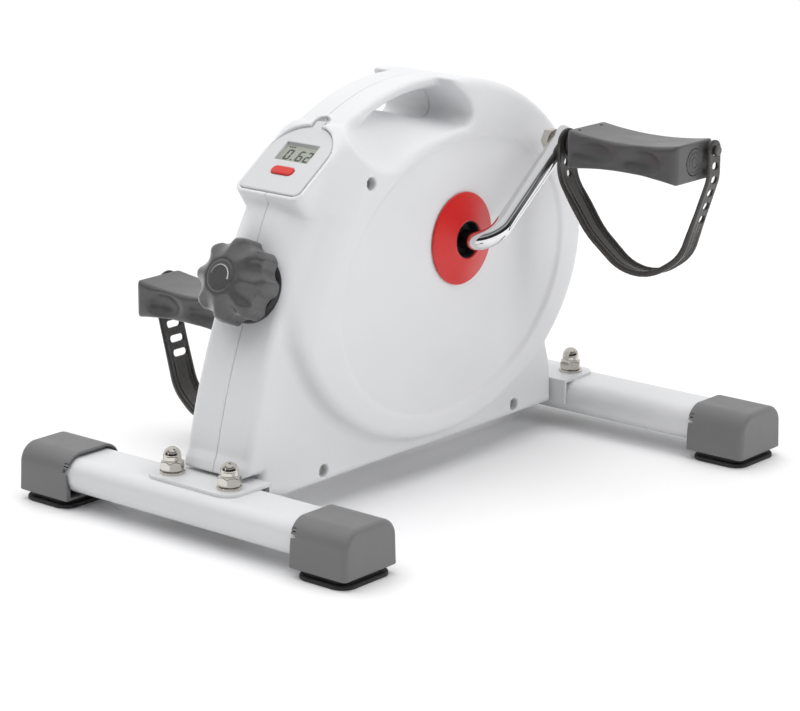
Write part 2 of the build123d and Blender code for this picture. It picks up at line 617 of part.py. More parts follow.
# ---------------------------------------------------------------- pedals
# Each piece is drawn on the right side, about its spindle, and mirrored for the left.
POST_X = 21.0               # strap post, behind the spindle on the pedal's outer end


def pedal_body():
    outline = make_face(
        Polyline((-TREAD_Y0, -PEDAL_HALF), (-TREAD_Y0, PEDAL_HALF))
        + ThreePointArc((-TREAD_Y0, PEDAL_HALF), (-(TREAD_Y0 + PEDAL_Y1) / 2, PEDAL_WAIST),
                        (-PEDAL_Y1, PEDAL_HALF))
        + Polyline((-PEDAL_Y1, PEDAL_HALF), (-PEDAL_Y1, -PEDAL_HALF))
        + ThreePointArc((-PEDAL_Y1, -PEDAL_HALF), (-(TREAD_Y0 + PEDAL_Y1) / 2, -PEDAL_WAIST),
                        (-TREAD_Y0, -PEDAL_HALF)))
    body = extrude(Plane.YZ.offset(-PEDAL_FRONT) * outline, PEDAL_FRONT + PEDAL_REAR)
    long_edges = [e for e in body.edges() if e.length > 100]
    body = fillet(long_edges, 6.0)
    body &= extrude(Pos(0, -TREAD_Y0 - 75, -30) * RectangleRounded(2 * PEDAL_FRONT, 150, 8), 60)
    body += rod_y(11.0, -TREAD_Y0 - 3, -PEDAL_Y0, 0, 0)
    for y in (TREAD_Y0 + 28, PEDAL_Y1 - 30):
        dimple = Pos(-PEDAL_FRONT - 30, -y, 0) * scale(Sphere(1), by=(33, 17, 9))
        body -= dimple
    body -= rod_y(SPINDLE_R + FIT, -PEDAL_Y1, -PEDAL_Y0, 0, 0)
    body -= rod_y(11.0, -PEDAL_Y1, -PEDAL_Y1 + 12, 0, 0)
    post = rod_y(2.6, -PEDAL_Y1 - 8.5, -PEDAL_Y1, POST_X, 6)
    knob = rod_y(3.6, -PEDAL_Y1 - 9.5, -PEDAL_Y1 - 7.3, POST_X, 7.5)
    return body + post + knob


def spindle():
    """Pedal bolt from its head inside the crank to the nut near the pedal's outer end."""
    head = hex_y(17, -SEAT_Y, -SEAT_Y + 6.5, 0, 0)
    return head + rod_y(SPINDLE_R, -PEDAL_Y1 + 3, -SEAT_Y, 0, 0)


def spindle_nut():
    y1 = -PEDAL_Y1 + 11.4
    return hex_y(15, y1 - 7, y1, 0, 0) - rod_y(SPINDLE_R, y1 - 8, y1 + 1, 0, 0)


def end_plug():
    disc = rod_y(10.9, -PEDAL_Y1, -PEDAL_Y1 + 2, 0, 0)
    return disc + ring_y(10.9, 9.8, -PEDAL_Y1 + 2, -PEDAL_Y1 + 8, 0, 0)


def strap_loop():
    """Middle line of the hanging strap in Y and Z, from its inner to its outer end."""
    inner_y = -(PEDAL_Y0 - 2.2)
    outer_y = -(PEDAL_Y1 + 5.0)
    return FilletPolyline(
        (inner_y, 13), (inner_y, -28), (-115, -72), (-156, -112.5), (-196, -84),
        (outer_y, -16), (outer_y, 16), radius=(40, 80, 36, 36, 30))


def strap(widths, shifts, slots):
    """Band with its width and its offset from the spindle given at both ends and in the middle."""
    band = make_face(offset(strap_loop(), STRAP_T / 2, side=Side.BOTH))
    solid = extrude(Plane.YZ.offset(-30) * band, 80)
    ys = (-PEDAL_Y0 + 5, -150, -PEDAL_Y1 - 10)
    front = [(s - w / 2, y) for w, s, y in zip(widths, shifts, ys)]
    rear = [(s + w / 2, y) for w, s, y in zip(widths, shifts, ys)]
    plan = make_face(Polyline(front + rear[::-1], close=True))
    solid &= extrude(Pos(0, 0, -140) * plan, 200)
    solid -= rod_y(6.5, -PEDAL_Y0, -PEDAL_Y0 + 6, 0, 0)
    long, tall, zs = slots
    for z in zs:
        solid -= slab(Pos(shifts[2], z) * SlotOverall(long, tall), -PEDAL_Y1 - 16, -PEDAL_Y1 + 30)
    return solid


def make_cranksets():
    nuts = []
    for name, side in (("right", -1), ("left", 1)):
        x, z = pedal_spot(side)
        place = Pos(x, 0, z)

        def put(node, shape):
            save(f"{name}_{node}", place * (shape if side < 0 else mirrored(shape)))

        save(f"{name}_crank", crank(side))
        put("pedal_spindle", spindle())
        nut = spindle_nut()
        nuts.append(place * (nut if side < 0 else mirrored(nut)))
        put("pedal", pedal_body())
        put("pedal_plug", end_plug())
        if side < 0:
            slots = (7.5, 6, (6, -5.5, -17, -28.5, -40, -51.5))
            put("strap", strap((25, 21, 16), (-5.5, 9, POST_X), slots))
        else:
            put("strap", strap((26, 28, 28), (-5, 10, 18), (16, 6, (6, -5, -16, -27, -38))))
    save("spindle_nuts", group(nuts))


if __name__ == "__main__":
    make_feet()
    make_fasteners()
    make_frame()
    make_shells()
    make_meter()
    make_tension()
    make_brake()
    make_drive()
    make_covers()
    make_cranksets()
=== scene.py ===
import json
from math import cos, pi, radians, sin

import bpy
import numpy as np
from mathutils import Matrix, Vector


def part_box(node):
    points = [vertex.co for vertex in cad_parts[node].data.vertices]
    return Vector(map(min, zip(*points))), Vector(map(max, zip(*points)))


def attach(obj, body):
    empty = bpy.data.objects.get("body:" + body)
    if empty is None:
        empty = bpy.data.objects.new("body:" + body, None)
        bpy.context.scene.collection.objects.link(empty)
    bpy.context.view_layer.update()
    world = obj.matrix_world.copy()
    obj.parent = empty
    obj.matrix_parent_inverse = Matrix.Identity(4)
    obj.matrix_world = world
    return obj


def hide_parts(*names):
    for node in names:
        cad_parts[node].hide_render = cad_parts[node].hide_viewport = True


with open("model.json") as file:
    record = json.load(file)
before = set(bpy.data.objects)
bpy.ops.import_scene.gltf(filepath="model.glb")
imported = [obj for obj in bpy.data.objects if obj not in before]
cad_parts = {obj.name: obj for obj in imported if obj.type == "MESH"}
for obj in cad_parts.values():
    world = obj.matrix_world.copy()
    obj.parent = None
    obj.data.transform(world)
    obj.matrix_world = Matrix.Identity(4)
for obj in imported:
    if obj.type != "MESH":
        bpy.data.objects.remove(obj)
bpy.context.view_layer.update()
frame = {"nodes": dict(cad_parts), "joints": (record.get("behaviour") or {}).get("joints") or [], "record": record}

# Lengths are in millimetres until a mesh is made, in the CAD's frame:
# +X to the rear, +Y to the left, +Z up.
MM = 0.001


# ---------------------------------------------------------------- places read from the frame
def mid(node):
    """Middle of a CAD node's box, in millimetres."""
    low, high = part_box(node)
    return np.array((low + high) / 2) / MM


def joint_at(name):
    """Where a joint is, in millimetres."""
    return np.array(next(j for j in frame["joints"] if j["name"] == name)["pos_m"]) / MM


AXLE_X, _, AXLE_Z = joint_at("crank_spin")
KNOB_AT = joint_at("knob_turn")
FOOT_X = mid("rear_stabilizer")[0]
BOLT_Y = 30.7
BRACKET_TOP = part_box("rear_bracket")[1].z / MM
KNOB_TILT = radians(22.8)           # the knob's axis points forward and this far up
KNOB_AXES = ((sin(KNOB_TILT), 0, cos(KNOB_TILT)), (0, 1, 0), (-cos(KNOB_TILT), 0, sin(KNOB_TILT)))


# ---------------------------------------------------------------- outlines
def curve_through(points, parts=8):
    """A smooth line through the points, as many short straight parts."""
    p = np.array([points[0], *points, points[-1]], float)
    t = np.linspace(0, 1, parts, endpoint=False)[:, None]
    rows = []
    for a, b, c, d in zip(p[:-3], p[1:-2], p[2:-1], p[3:]):
        bend = (2 * a - 5 * b + 4 * c - d) * t ** 2 + (3 * b - a - 3 * c + d) * t ** 3
        rows.append(b + 0.5 * ((c - a) * t + bend))
    return np.concatenate(rows + [p[-1:]])


def arc_through(a, b, c, parts=48):
    """Points along the circle's arc from a through b to c."""
    a, b, c = (complex(*q) for q in (a, b, c))
    w = (c - a) / (b - a)
    centre = a + (b - a) * (w - abs(w) ** 2) / (w - w.conjugate())
    turn = np.angle((b - centre) / (a - centre)) + np.angle((c - centre) / (b - centre))
    points = centre + (a - centre) * np.exp(1j * turn * np.linspace(0, 1, parts + 1))
    return np.stack([points.real, points.imag], 1)


def distance_to_line(u, v, line, closed):
    """Distance to a line of points; negative inside when it is closed."""
    ends = np.roll(line, -1, 0) if closed else line[1:]
    best = np.full(np.broadcast(u, v).shape, 1e9)
    inside = np.zeros(best.shape, bool)
    for (au, av), (bu, bv) in zip(line, ends):
        du, dv = bu - au, bv - av
        length = du * du + dv * dv
        if length < 1e-12:
            continue
        share = np.clip(((u - au) * du + (v - av) * dv) / length, 0, 1)
        best = np.minimum(best, (u - au - share * du) ** 2 + (v - av - share * dv) ** 2)
        if closed:
            crosses = (v < av) != (v < bv)
            inside ^= crosses & (u < au + (v - av) * du / (dv or 1.0))
    return np.where(inside, -1, 1) * np.sqrt(best)


def chart(line, closed=True, margin=24.0, pitch=1.0):
    """Distance to an outline, read back from a fine grid in its plane."""
    line = np.array(line, float)
    low = line.min(0) - margin
    count = np.ceil((line.max(0) + margin - low) / pitch).astype(int) + 1
    us, vs = (low[k] + pitch * np.arange(count[k]) for k in range(2))
    table = distance_to_line(us[:, None], vs[None, :], line, closed)

    def read(u, v):
        s = np.clip((u - low[0]) / pitch, 0, count[0] - 1.001)
        t = np.clip((v - low[1]) / pitch, 0, count[1] - 1.001)
        i, j = s.astype(int), t.astype(int)
        s, t = s - i, t - j
        near = table[i, j] * (1 - t) + table[i, j + 1] * t
        far = table[i + 1, j] * (1 - t) + table[i + 1, j + 1] * t
        return near * (1 - s) + far * s

    return read


# ---------------------------------------------------------------- distance fields, negative inside
def join(a, b, r=0.5):
    """Both solids, with a fillet of radius r where they meet."""
    return np.maximum(r, np.minimum(a, b)) - np.hypot(np.maximum(r - a, 0), np.maximum(r - b, 0))


def meet(a, b, r=0.5):
    """What is in both solids, with edges rounded to radius r."""
    return -join(-a, -b, r)


def cut(a, b, r=0.5):
    """The first solid without the second."""
    return meet(a, -b, r)


def between(u, low, high):
    """Distance to the slab from low to high."""
    return np.maximum(low - u, u - high)


def rounded_box(u, v, half_u, half_v, r):
    """Distance to a rectangle with round corners, about the origin."""
    du, dv = np.abs(u) - half_u + r, np.abs(v) - half_v + r
    return np.hypot(np.maximum(du, 0), np.maximum(dv, 0)) + np.minimum(np.maximum(du, dv), 0) - r


def oval(u, v, a, b):
    """Nearly the distance to an ellipse about the origin."""
    near = np.hypot(u / a, v / b)
    return near * (near - 1) / np.maximum(np.hypot(u / a ** 2, v / b ** 2), 1e-9)


def smooth(low, high, u):
    """Eases from 0 at low to 1 at high."""
    t = np.clip((u - low) / (high - low), 0, 1)
    return t * t * (3 - 2 * t)


def steps(*bands):
    """Grid places from (start, end, spacing) bands that follow each other."""
    rows = [np.linspace(a, b, max(1, round((b - a) / s)), endpoint=False) for a, b, s in bands]
    return np.concatenate(rows + [[bands[-1][1]]])


def settle(field, points, reach=0.8, h=0.02):
    """Moves points onto the field's surface."""
    here = field(*points.T)
    slope = np.stack([(field(*(points + e).T) - here) / h for e in h * np.eye(3)], 1)
    move = -here[:, None] * slope / np.maximum((slope ** 2).sum(1), 0.1)[:, None]
    far = np.linalg.norm(move, axis=1, keepdims=True)
    return points + move * np.minimum(1, reach / np.maximum(far, 1e-9))


def surface(field, xs, ys, zs):
    """Points and four-sided faces of the field's surface, one point in each cell that it crosses."""
    axes = (xs, ys, zs)
    shape = tuple(len(a) for a in axes)
    value = field(xs[:, None, None], ys[None, :, None], zs[None, None, :])
    value = np.array(np.broadcast_to(value, shape))
    cells = tuple(n - 1 for n in shape)
    total = np.zeros((int(np.prod(cells)), 3))
    count = np.zeros(len(total))
    quads = []
    for a in range(3):
        b, c = (a + 1) % 3, (a + 2) % 3
        low = value[tuple(slice(None, -1) if k == a else slice(None) for k in range(3))]
        high = value[tuple(slice(1, None) if k == a else slice(None) for k in range(3))]
        at = np.argwhere((low < 0) != (high < 0))
        v0, v1 = low[tuple(at.T)], high[tuple(at.T)]
        point = np.stack([axes[k][at[:, k]] for k in range(3)], 1)
        point[:, a] += v0 / (v0 - v1) * (axes[a][at[:, a] + 1] - axes[a][at[:, a]])
        corners = []
        for db, dc in ((0, 0), (1, 0), (1, 1), (0, 1)):
            cell = at.copy()
            cell[:, b] -= db
            cell[:, c] -= dc
            flat = np.ravel_multi_index(cell.T, cells)
            corners.append(flat)
            count += np.bincount(flat, minlength=len(total))
            for k in range(3):
                total[:, k] += np.bincount(flat, point[:, k], len(total))
        quad = np.stack(corners, 1)
        quads.append(np.where((v0 < 0)[:, None], quad, quad[:, ::-1]))
    used, faces = np.unique(np.concatenate(quads), return_inverse=True)
    points = total[used] / count[used][:, None]
    return settle(field, settle(field, points)), faces.reshape(-1, 4)


# ---------------------------------------------------------------- meshes
def make_piece(name, points, faces, material, body, slot, nodes=(), flat_above=None):
    """A Blender object from points in millimetres, riding on a body in place of some CAD nodes."""
    mesh = bpy.data.meshes.new(name)
    faces = faces.tolist() if isinstance(faces, np.ndarray) else faces
    mesh.from_pydata((np.asarray(points, float) * MM).tolist(), [], faces)
    mesh.validate()
    mesh.shade_smooth()
    if flat_above is not None:
        mesh.set_sharp_from_angle(angle=radians(flat_above))
    piece = bpy.data.objects.new(name, mesh)
    bpy.context.scene.collection.objects.link(piece)
    mesh.materials.append(material)
    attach(piece, body)
    if nodes:
        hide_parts(*nodes)
    return piece


def merged(parts):
    """Several (points, faces) meshes as one."""
    points, faces, start = [], [], 0
    for p, f in parts:
        points.append(np.asarray(p, float))
        faces += [[int(i) + start for i in face] for face in f]
        start += len(p)
    return np.concatenate(points), faces


def placed(mesh, origin=(0, 0, 0), axes=None, flip_y=False):
    """A mesh moved to an origin with its own axes as rows, or mirrored to the other side."""
    points, faces = mesh
    points = np.asarray(points, float)
    if axes is not None:
        points = points @ np.array(axes, float)
    points = points + np.array(origin, float)
    if flip_y:
        points = points * (1, -1, 1)
        faces = faces[:, ::-1] if isinstance(faces, np.ndarray) else [f[::-1] for f in faces]
    return points, faces


def lathe(profile, parts=96):
    """(radius, height) points turned about Z; the profile is a closed loop, anticlockwise."""
    profile = np.array(profile, float)
    n = len(profile)
    turn = np.linspace(0, 2 * pi, parts, endpoint=False)
    ring = np.stack([np.cos(turn), np.sin(turn)], 1)
    points = np.stack([np.concatenate([r * ring, np.full((parts, 1), h)], 1) for r, h in profile])
    faces = []
    for i in range(n):
        j = (i + 1) % n
        for k in range(parts):
            m = (k + 1) % parts
            faces.append([i * parts + k, i * parts + m, j * parts + m, j * parts + k])
    return points.reshape(-1, 3), faces


def soft_loop(corners, r=0.6, parts=4):
    """A closed profile with its corners rounded."""
    corners = np.array(corners, float)
    rows = []
    for before, here, after in zip(np.roll(corners, 1, 0), corners, np.roll(corners, -1, 0)):
        to_a, to_b = before - here, after - here
        reach = min(r, 0.45 * np.linalg.norm(to_a), 0.45 * np.linalg.norm(to_b))
        a = here + to_a / np.linalg.norm(to_a) * reach
        b = here + to_b / np.linalg.norm(to_b) * reach
        t = np.linspace(0, 1, parts + 1)[:, None]
        rows.append(a * (1 - t) ** 2 + 2 * here * t * (1 - t) + b * t ** 2)
    return np.concatenate(rows)


def swept_tube(path, radius, parts=40):
    """A round bar along a path, with softly rounded ends."""
    path = np.array(path, float)
    along = np.gradient(path, axis=0)
    along /= np.linalg.norm(along, axis=1, keepdims=True)
    lip = 2.0
    lips = [(lip * (1 - cos(a)), radius - lip * (1 - sin(a))) for a in np.linspace(0, pi / 2, 5)[:-1]]
    start = [(path[0] + along[0] * inset, along[0], r) for inset, r in lips]
    end = [(path[-1] - along[-1] * inset, along[-1], r) for inset, r in lips[::-1]]
    inner = [(p, t, radius) for p, t in zip(path, along)
             if (p - path[0]) @ along[0] > lip and (path[-1] - p) @ along[-1] > lip]
    stations = start + inner + end
    side = np.cross(stations[0][1], (0.3, 0.1, 0.95))
    turn = np.linspace(0, 2 * pi, parts, endpoint=False)[:, None]
    points, faces = [], []
    for p, t, r in stations:
        side = side - (side @ t) * t
        side /= np.linalg.norm(side)
        points.append(p + r * (np.cos(turn) * side + np.sin(turn) * np.cross(t, side)))
    for i in range(len(stations) - 1):
        for k in range(parts):
            m = (k + 1) % parts
            faces.append([i * parts + k, i * parts + m, (i + 1) * parts + m, (i + 1) * parts + k])
    last = (len(stations) - 1) * parts
    faces.append(list(range(parts))[::-1])
    faces.append([last + k for k in range(parts)])
    return np.concatenate(points), faces


# ---------------------------------------------------------------- materials
def new_material(name, colour, roughness, metallic=0.0, grain=2500.0, bump=0.06, tint=0.03,
                 wear=0.04, stretch=(1, 1, 1), **sockets):
    """Principled material with a fine surface grain, broad colour variation and uneven gloss."""
    material = bpy.data.materials.new(name)
    material.use_nodes = True
    nodes, links = material.node_tree.nodes, material.node_tree.links
    shader = nodes["Principled BSDF"]
    shader.inputs["Metallic"].default_value = metallic
    for key, value in sockets.items():
        shader.inputs[key.replace("_", " ")].default_value = value
    place = nodes.new("ShaderNodeTexCoord")
    mapping = nodes.new("ShaderNodeMapping")
    mapping.inputs["Scale"].default_value = stretch
    links.new(place.outputs["Object"], mapping.inputs["Vector"])

    def noise(scale, detail):
        node = nodes.new("ShaderNodeTexNoise")
        node.inputs["Scale"].default_value = scale
        node.inputs["Detail"].default_value = detail
        links.new(mapping.outputs["Vector"], node.inputs["Vector"])
        return node.outputs["Fac"]

    def ramp(source, low, high):
        node = nodes.new("ShaderNodeMapRange")
        node.inputs["From Min"].default_value = 0.3
        node.inputs["From Max"].default_value = 0.7
        node.inputs["To Min"].default_value = low
        node.inputs["To Max"].default_value = high
        links.new(source, node.inputs["Value"])
        return node.outputs["Result"]

    mix = nodes.new("ShaderNodeMix")
    mix.data_type = "RGBA"
    mix.inputs["A"].default_value = (*[c * (1 - tint) for c in colour], 1)
    mix.inputs["B"].default_value = (*[min(1, c * (1 + tint)) for c in colour], 1)
    links.new(ramp(noise(18, 3), 0, 1), mix.inputs["Factor"])
    links.new(mix.outputs["Result"], shader.inputs["Base Color"])
    links.new(ramp(noise(60, 4), roughness - wear, roughness + wear), shader.inputs["Roughness"])
    relief = nodes.new("ShaderNodeBump")
    relief.inputs["Strength"].default_value = bump
    relief.inputs["Distance"].default_value = 0.0003
    links.new(noise(grain, 2), relief.inputs["Height"])
    links.new(relief.outputs["Normal"], shader.inputs["Normal"])
    return material


FINISHES = {
    "housing_white": dict(colour=(0.77, 0.775, 0.785), roughness=0.42, grain=1800, bump=0.10,
                          tint=0.01, Coat_Weight=0.12, Coat_Roughness=0.3),
    "frame_paint": dict(colour=(0.70, 0.705, 0.715), roughness=0.30, grain=2600, bump=0.015,
                        tint=0.008, wear=0.015, Coat_Weight=0.35, Coat_Roughness=0.15),
    "cap_grey": dict(colour=(0.165, 0.165, 0.166), roughness=0.44, grain=1600, bump=0.16,
                     tint=0.04),
    "pad_rubber": dict(colour=(0.022, 0.022, 0.022), roughness=0.62, grain=1200, bump=0.2,
                       tint=0.15),
    "nickel": dict(colour=(0.66, 0.63, 0.58), roughness=0.12, metallic=1.0, grain=700, bump=0.03,
                   tint=0.05),
    "crank_chrome": dict(colour=(0.74, 0.74, 0.75), roughness=0.05, metallic=1.0, grain=400,
                         bump=0.01, tint=0.01, wear=0.02),
    "steel": dict(colour=(0.52, 0.52, 0.53), roughness=0.32, metallic=1.0, grain=900, bump=0.08,
                  stretch=(1, 8, 1)),
    "zinc_steel": dict(colour=(0.62, 0.61, 0.58), roughness=0.30, metallic=1.0, grain=1100,
                       bump=0.1, tint=0.08),
    "knob_grey": dict(colour=(0.080, 0.080, 0.081), roughness=0.28, grain=1500, bump=0.08,
                      tint=0.04, Coat_Weight=0.25, Coat_Roughness=0.18),
    "pedal_grey": dict(colour=(0.074, 0.074, 0.075), roughness=0.36, grain=1300, bump=0.12,
                       tint=0.04, Coat_Weight=0.25, Coat_Roughness=0.3),
    "plug_grey": dict(colour=(0.085, 0.085, 0.087), roughness=0.40, grain=1300, bump=0.14,
                      tint=0.05),
    "strap_rubber": dict(colour=(0.045, 0.041, 0.038), roughness=0.27, grain=900, bump=0.12,
                         tint=0.10),
    "cover_red": dict(colour=(0.62, 0.010, 0.008), roughness=0.42, grain=1700, bump=0.09, tint=0.04,
                      Coat_Weight=0.2, Coat_Roughness=0.25),
    "button_red": dict(colour=(0.66, 0.035, 0.025), roughness=0.33, grain=1500, bump=0.08,
                       tint=0.04),
    "black_plastic": dict(colour=(0.012, 0.012, 0.013), roughness=0.38, grain=1500, bump=0.1,
                          tint=0.2),
    "panel_white": dict(colour=(0.64, 0.645, 0.655), roughness=0.36, grain=2000, bump=0.07,
                        tint=0.01),
    "clear_lens": dict(colour=(0.9, 0.92, 0.9), roughness=0.16, bump=0.01, wear=0.02, tint=0.01,
                       Alpha=0.04),
    "lcd_grey": dict(colour=(0.34, 0.37, 0.31), roughness=0.45, grain=3000, bump=0.04, tint=0.05),
    "board_green": dict(colour=(0.03, 0.17, 0.06), roughness=0.45, grain=1200, bump=0.2, tint=0.2),
    "wheel_iron": dict(colour=(0.20, 0.20, 0.205), roughness=0.42, metallic=1.0, grain=500,
                       bump=0.25, tint=0.15),
    "magnet": dict(colour=(0.45, 0.45, 0.47), roughness=0.25, metallic=1.0, grain=700, bump=0.05,
                   tint=0.05),
    "belt_rubber": dict(colour=(0.02, 0.02, 0.02), roughness=0.55, grain=800, bump=0.3, tint=0.2,
                        stretch=(1, 30, 1)),
}
MATERIALS = {name: new_material(name, **look) for name, look in FINISHES.items()}


def dress_frame():
    """Every CAD node gets the material of its slot."""
    for part in frame["record"]["subparts"]:
        node = frame["nodes"][part["node"]]
        node.data.materials.clear()
        node.data.materials.append(MATERIALS[part["material_slot"]])
        node.data.shade_smooth()
        node.data.set_sharp_from_angle(angle=radians(32))


# ---------------------------------------------------------------- meter panel, in housing and meter
PANEL_FOOT = (-143.0, 0.0, 262.0)
PANEL_SLOPE = radians(34.7)
PANEL_U = np.array((cos(PANEL_SLOPE), 0, sin(PANEL_SLOPE)))
PANEL_V = np.array((0.0, 1.0, 0.0))
PANEL_W = np.array((-sin(PANEL_SLOPE), 0, cos(PANEL_SLOPE)))
PANEL_MIDDLE = 42.0         # middle of the panel's round upper end
LATCH_U = 78.5


def panel_uw(x, z):
    """Along the panel's slope and out of its face."""
    dx, dz = x - PANEL_FOOT[0], z - PANEL_FOOT[2]
    return dx * PANEL_U[0] + dz * PANEL_U[2], dx * PANEL_W[0] + dz * PANEL_W[2]


def arch(u, v, half, low, corner):
    """Distance to the panel's outline: straight below and round above."""
    straight = meet(low - u, np.abs(v) - half, corner)
    return np.where(u > PANEL_MIDDLE, np.hypot(u - PANEL_MIDDLE, v) - half, straight)


# ---------------------------------------------------------------- housing
HALF_LOW, HALF_DRUM = 34.0, 49.0
SHELL_FLOOR = 23.0
HOLLOW_OPEN_Z = 48.0                # the column's hollow keeps its outline from here down
WALL = 4.0
DRUM_MIDDLE, DRUM_HALF = (25.0, 184.0), (187.0, 149.0)
SIDE_PANEL_MIDDLE, SIDE_PANEL_HALF = (35.0, 169.5), (147.0, 114.0)
SIDE_PANEL_TILT = radians(12)
SIDE_PANEL_DEPTH = 2.8
POD_HALF, POD_DEPTH = 35.0, 25.0    # box under the meter
BED_HALF, BED_DEPTH = 31.4, 12.0    # recess that the meter lies in
LATCH_RING_R, LATCH_DISH_R = 10.2, 7.6
AXLE_HOLE_R, KNOB_HOLE_R = 17.0, 12.4
SCREW_BOSS_R, SCREW_HOLE_R = 8.0, 5.4
UPPER_SCREW = (-74.0, 263.7)
LOWER_SCREWS = ((-114.7, 33.0), (136.4, 33.0))
COLUMN_ARC = arc_through((-203.5, 62), (-175, 154), (-129.5, 243))
COLUMN = chart([(-209, 47.2), (-207, 55), *COLUMN_ARC, (-143, 262), (-83, 303.6), (150, 150),
                (183, 88), (183, 80), (188, 64), (190, 50), (191, SHELL_FLOOR), (-160, SHELL_FLOOR),
                (-188, 30), (-188, 47.2)])
AHEAD = chart([*COLUMN_ARC, (-129, 251), (-86.5, 303.6), (-70, 330), (-300, 330), (-300, 62)])
POCKET_REAR = chart([*curve_through([(52, 262), (55, 285), (57.5, 300), (53, 313), (43, 323),
                                     (34, 331), (30, 339), (28, 356)]), (-160, 356), (-160, 262)])
POCKET_EDGE = ((-150, -112, -98, -88.5, -73, -62, -47, -33, -14, 5.5, 25, 54, 80),
               (332, 312, 298, 291, 278, 272, 268.5, 272, 281, 286.5, 290, 292, 293))
POCKET_CREST = ((-150, -80, -48, -25, 2.5, 28, 48, 69), (338, 326, 318, 311, 304.6, 297.5, 294, 291))
BAR_UNDER = ((-110, -61, -48, -35, -12, 13.5, 43, 80), (290, 302, 309, 313.5, 319.5, 322.5, 322, 318))


def through(table, u):
    """Reads a smooth curve through a few (u, value) points."""
    line = curve_through(list(zip(*table)), 6)
    return np.interp(u, line[:, 0], line[:, 1])


def pocket(x, ay, z):
    """The hand's way in at the side and under the carrying bar."""
    edge, crest = through(POCKET_EDGE, x), through(POCKET_CREST, x)
    share = smooth(4, 52, ay)
    floor = (crest + (edge - crest) * share - z) * 0.75
    opened = meet(floor, POCKET_REAR(x, z), 9.0)
    bar = meet(through(BAR_UNDER, x) + 0.010 * np.minimum(ay, 30) ** 2 - 3.0 - z, ay - 25.0, 5.0)
    return cut(opened, bar, 3.0)


def outer_form(x, ay, z, column_z):
    """Housing without its hollow; a column_z held above z keeps the column open below."""
    column = meet(COLUMN(x, column_z), ay - HALF_LOW, 6.5)
    px, pz, tilt = x - SIDE_PANEL_MIDDLE[0], z - SIDE_PANEL_MIDDLE[1], SIDE_PANEL_TILT
    panel = oval(px * cos(tilt) + pz * sin(tilt), pz * cos(tilt) - px * sin(tilt), *SIDE_PANEL_HALF)
    side = HALF_DRUM - SIDE_PANEL_DEPTH * (1 - smooth(-3.4, 0.6, panel))
    drum = meet(oval(x - DRUM_MIDDLE[0], z - DRUM_MIDDLE[1], *DRUM_HALF), ay - side, 10.0)
    drum = meet(drum, (ay - 32.0 - 0.85 * AHEAD(x, z)) * 0.75, 9.0)
    body = join(column, drum, 8.0)
    u, w = panel_uw(x, z)
    pod = meet(meet(arch(u, ay, POD_HALF, -4.0, 9.0), w, 1.8), -POD_DEPTH - w, 2.0)
    ring = meet(meet(np.hypot(u - LATCH_U, ay) - LATCH_RING_R, w - 0.8, 1.6), -18.0 - w, 1.0)
    body = join(join(body, pod, 1.6), ring, 1.2)
    return cut(body, pocket(x, ay, z), 5.0)


def housing(x, y, z, side):
    """One half of the housing; side is -1 for the right half."""
    ay = np.abs(y)
    whole = outer_form(x, ay, z, z)
    u, w = panel_uw(x, z)
    bed = meet(arch(u, ay, BED_HALF, -0.4, 5.4), -BED_DEPTH - w, 0.8)
    dish = meet(np.hypot(u - LATCH_U, ay) - LATCH_DISH_R, -3.5 - w + 0.12 * (u - LATCH_U), 1.5)
    outer = cut(cut(whole, bed, 0.8), dish, 0.8)
    inner = outer_form(x, ay, z, np.maximum(z, HOLLOW_OPEN_Z)) + WALL
    inner = cut(cut(inner, dish - WALL, 1.0), bed - WALL, 1.0)
    shell = cut(outer, inner, 0.8)
    axle = np.hypot(x - AXLE_X, z - AXLE_Z)
    shell = cut(shell, meet(axle - AXLE_HOLE_R, 30.0 - ay, 0.8), 0.8)
    rail = meet(between(np.abs(x), 176.0, 230.0), np.maximum(ay - 21.5, z - 43.5), 0.5)
    shell = cut(shell, rail, 0.8)
    kx, kz = x - KNOB_AT[0], z - KNOB_AT[2]
    out = kx * -cos(KNOB_TILT) + kz * sin(KNOB_TILT)
    off = np.hypot(kx * sin(KNOB_TILT) + kz * cos(KNOB_TILT), y)
    shell = cut(shell, meet(off - KNOB_HOLE_R, np.abs(out) - 12.0, 0.5), 0.8)
    screws = [(*spot, HALF_LOW, 8.0) for spot in LOWER_SCREWS]
    if side < 0:
        screws.append((*UPPER_SCREW, HALF_DRUM, 10.0))
    for sx, sz, top, deep in screws:
        axis = np.hypot(x - sx, z - sz)
        boss = meet(axis - SCREW_BOSS_R, between(ay, top - deep - 3.0, top - 2.0), 0.6)
        shell = join(shell, boss, 0.6)
        shell = cut(shell, meet(axis - SCREW_HOLE_R, top - deep - ay, 0.8), 1.0)
    shell = meet(shell, SHELL_FLOOR - z, 0.8)
    return meet(shell, -side * y + 0.14, 0.8)


def make_housing():
    """Both halves, with a finer grid where there is detail."""
    xs = steps((-214, -176, 2), (-176, -60, 1.25), (-60, 132, 2), (132, 142, 1.25), (142, 216, 2))
    zs = steps((20, 26, 1.5), (26, 40, 1.25), (40, 238, 2), (238, 337, 1.25))
    half = steps((-1, 3, 0.5), (3, 24, 1.75), (24, 53, 1.25))
    for name, side in (("right_shell", -1), ("left_shell", 1)):
        ys = half if side > 0 else -half[::-1]
        mesh = surface(lambda x, y, z: housing(x, y, z, side), xs, ys, zs)
        make_piece(f"{name}_moulding", *mesh, MATERIALS["housing_white"], "base", "housing_white",
                   [name])


# ---------------------------------------------------------------- feet
CAP_LENGTH, CAP_FLOOR, CAP_TOP = 55.6, 8.0, 46.5
TUBE_HALF, TUBE_CORNER, TUBE_WALL = (27.5, 14.5), 13.0, 1.8
TUBE_Z = 27.5
TUBE_FIT = 0.1                      # play between a tube and its cap


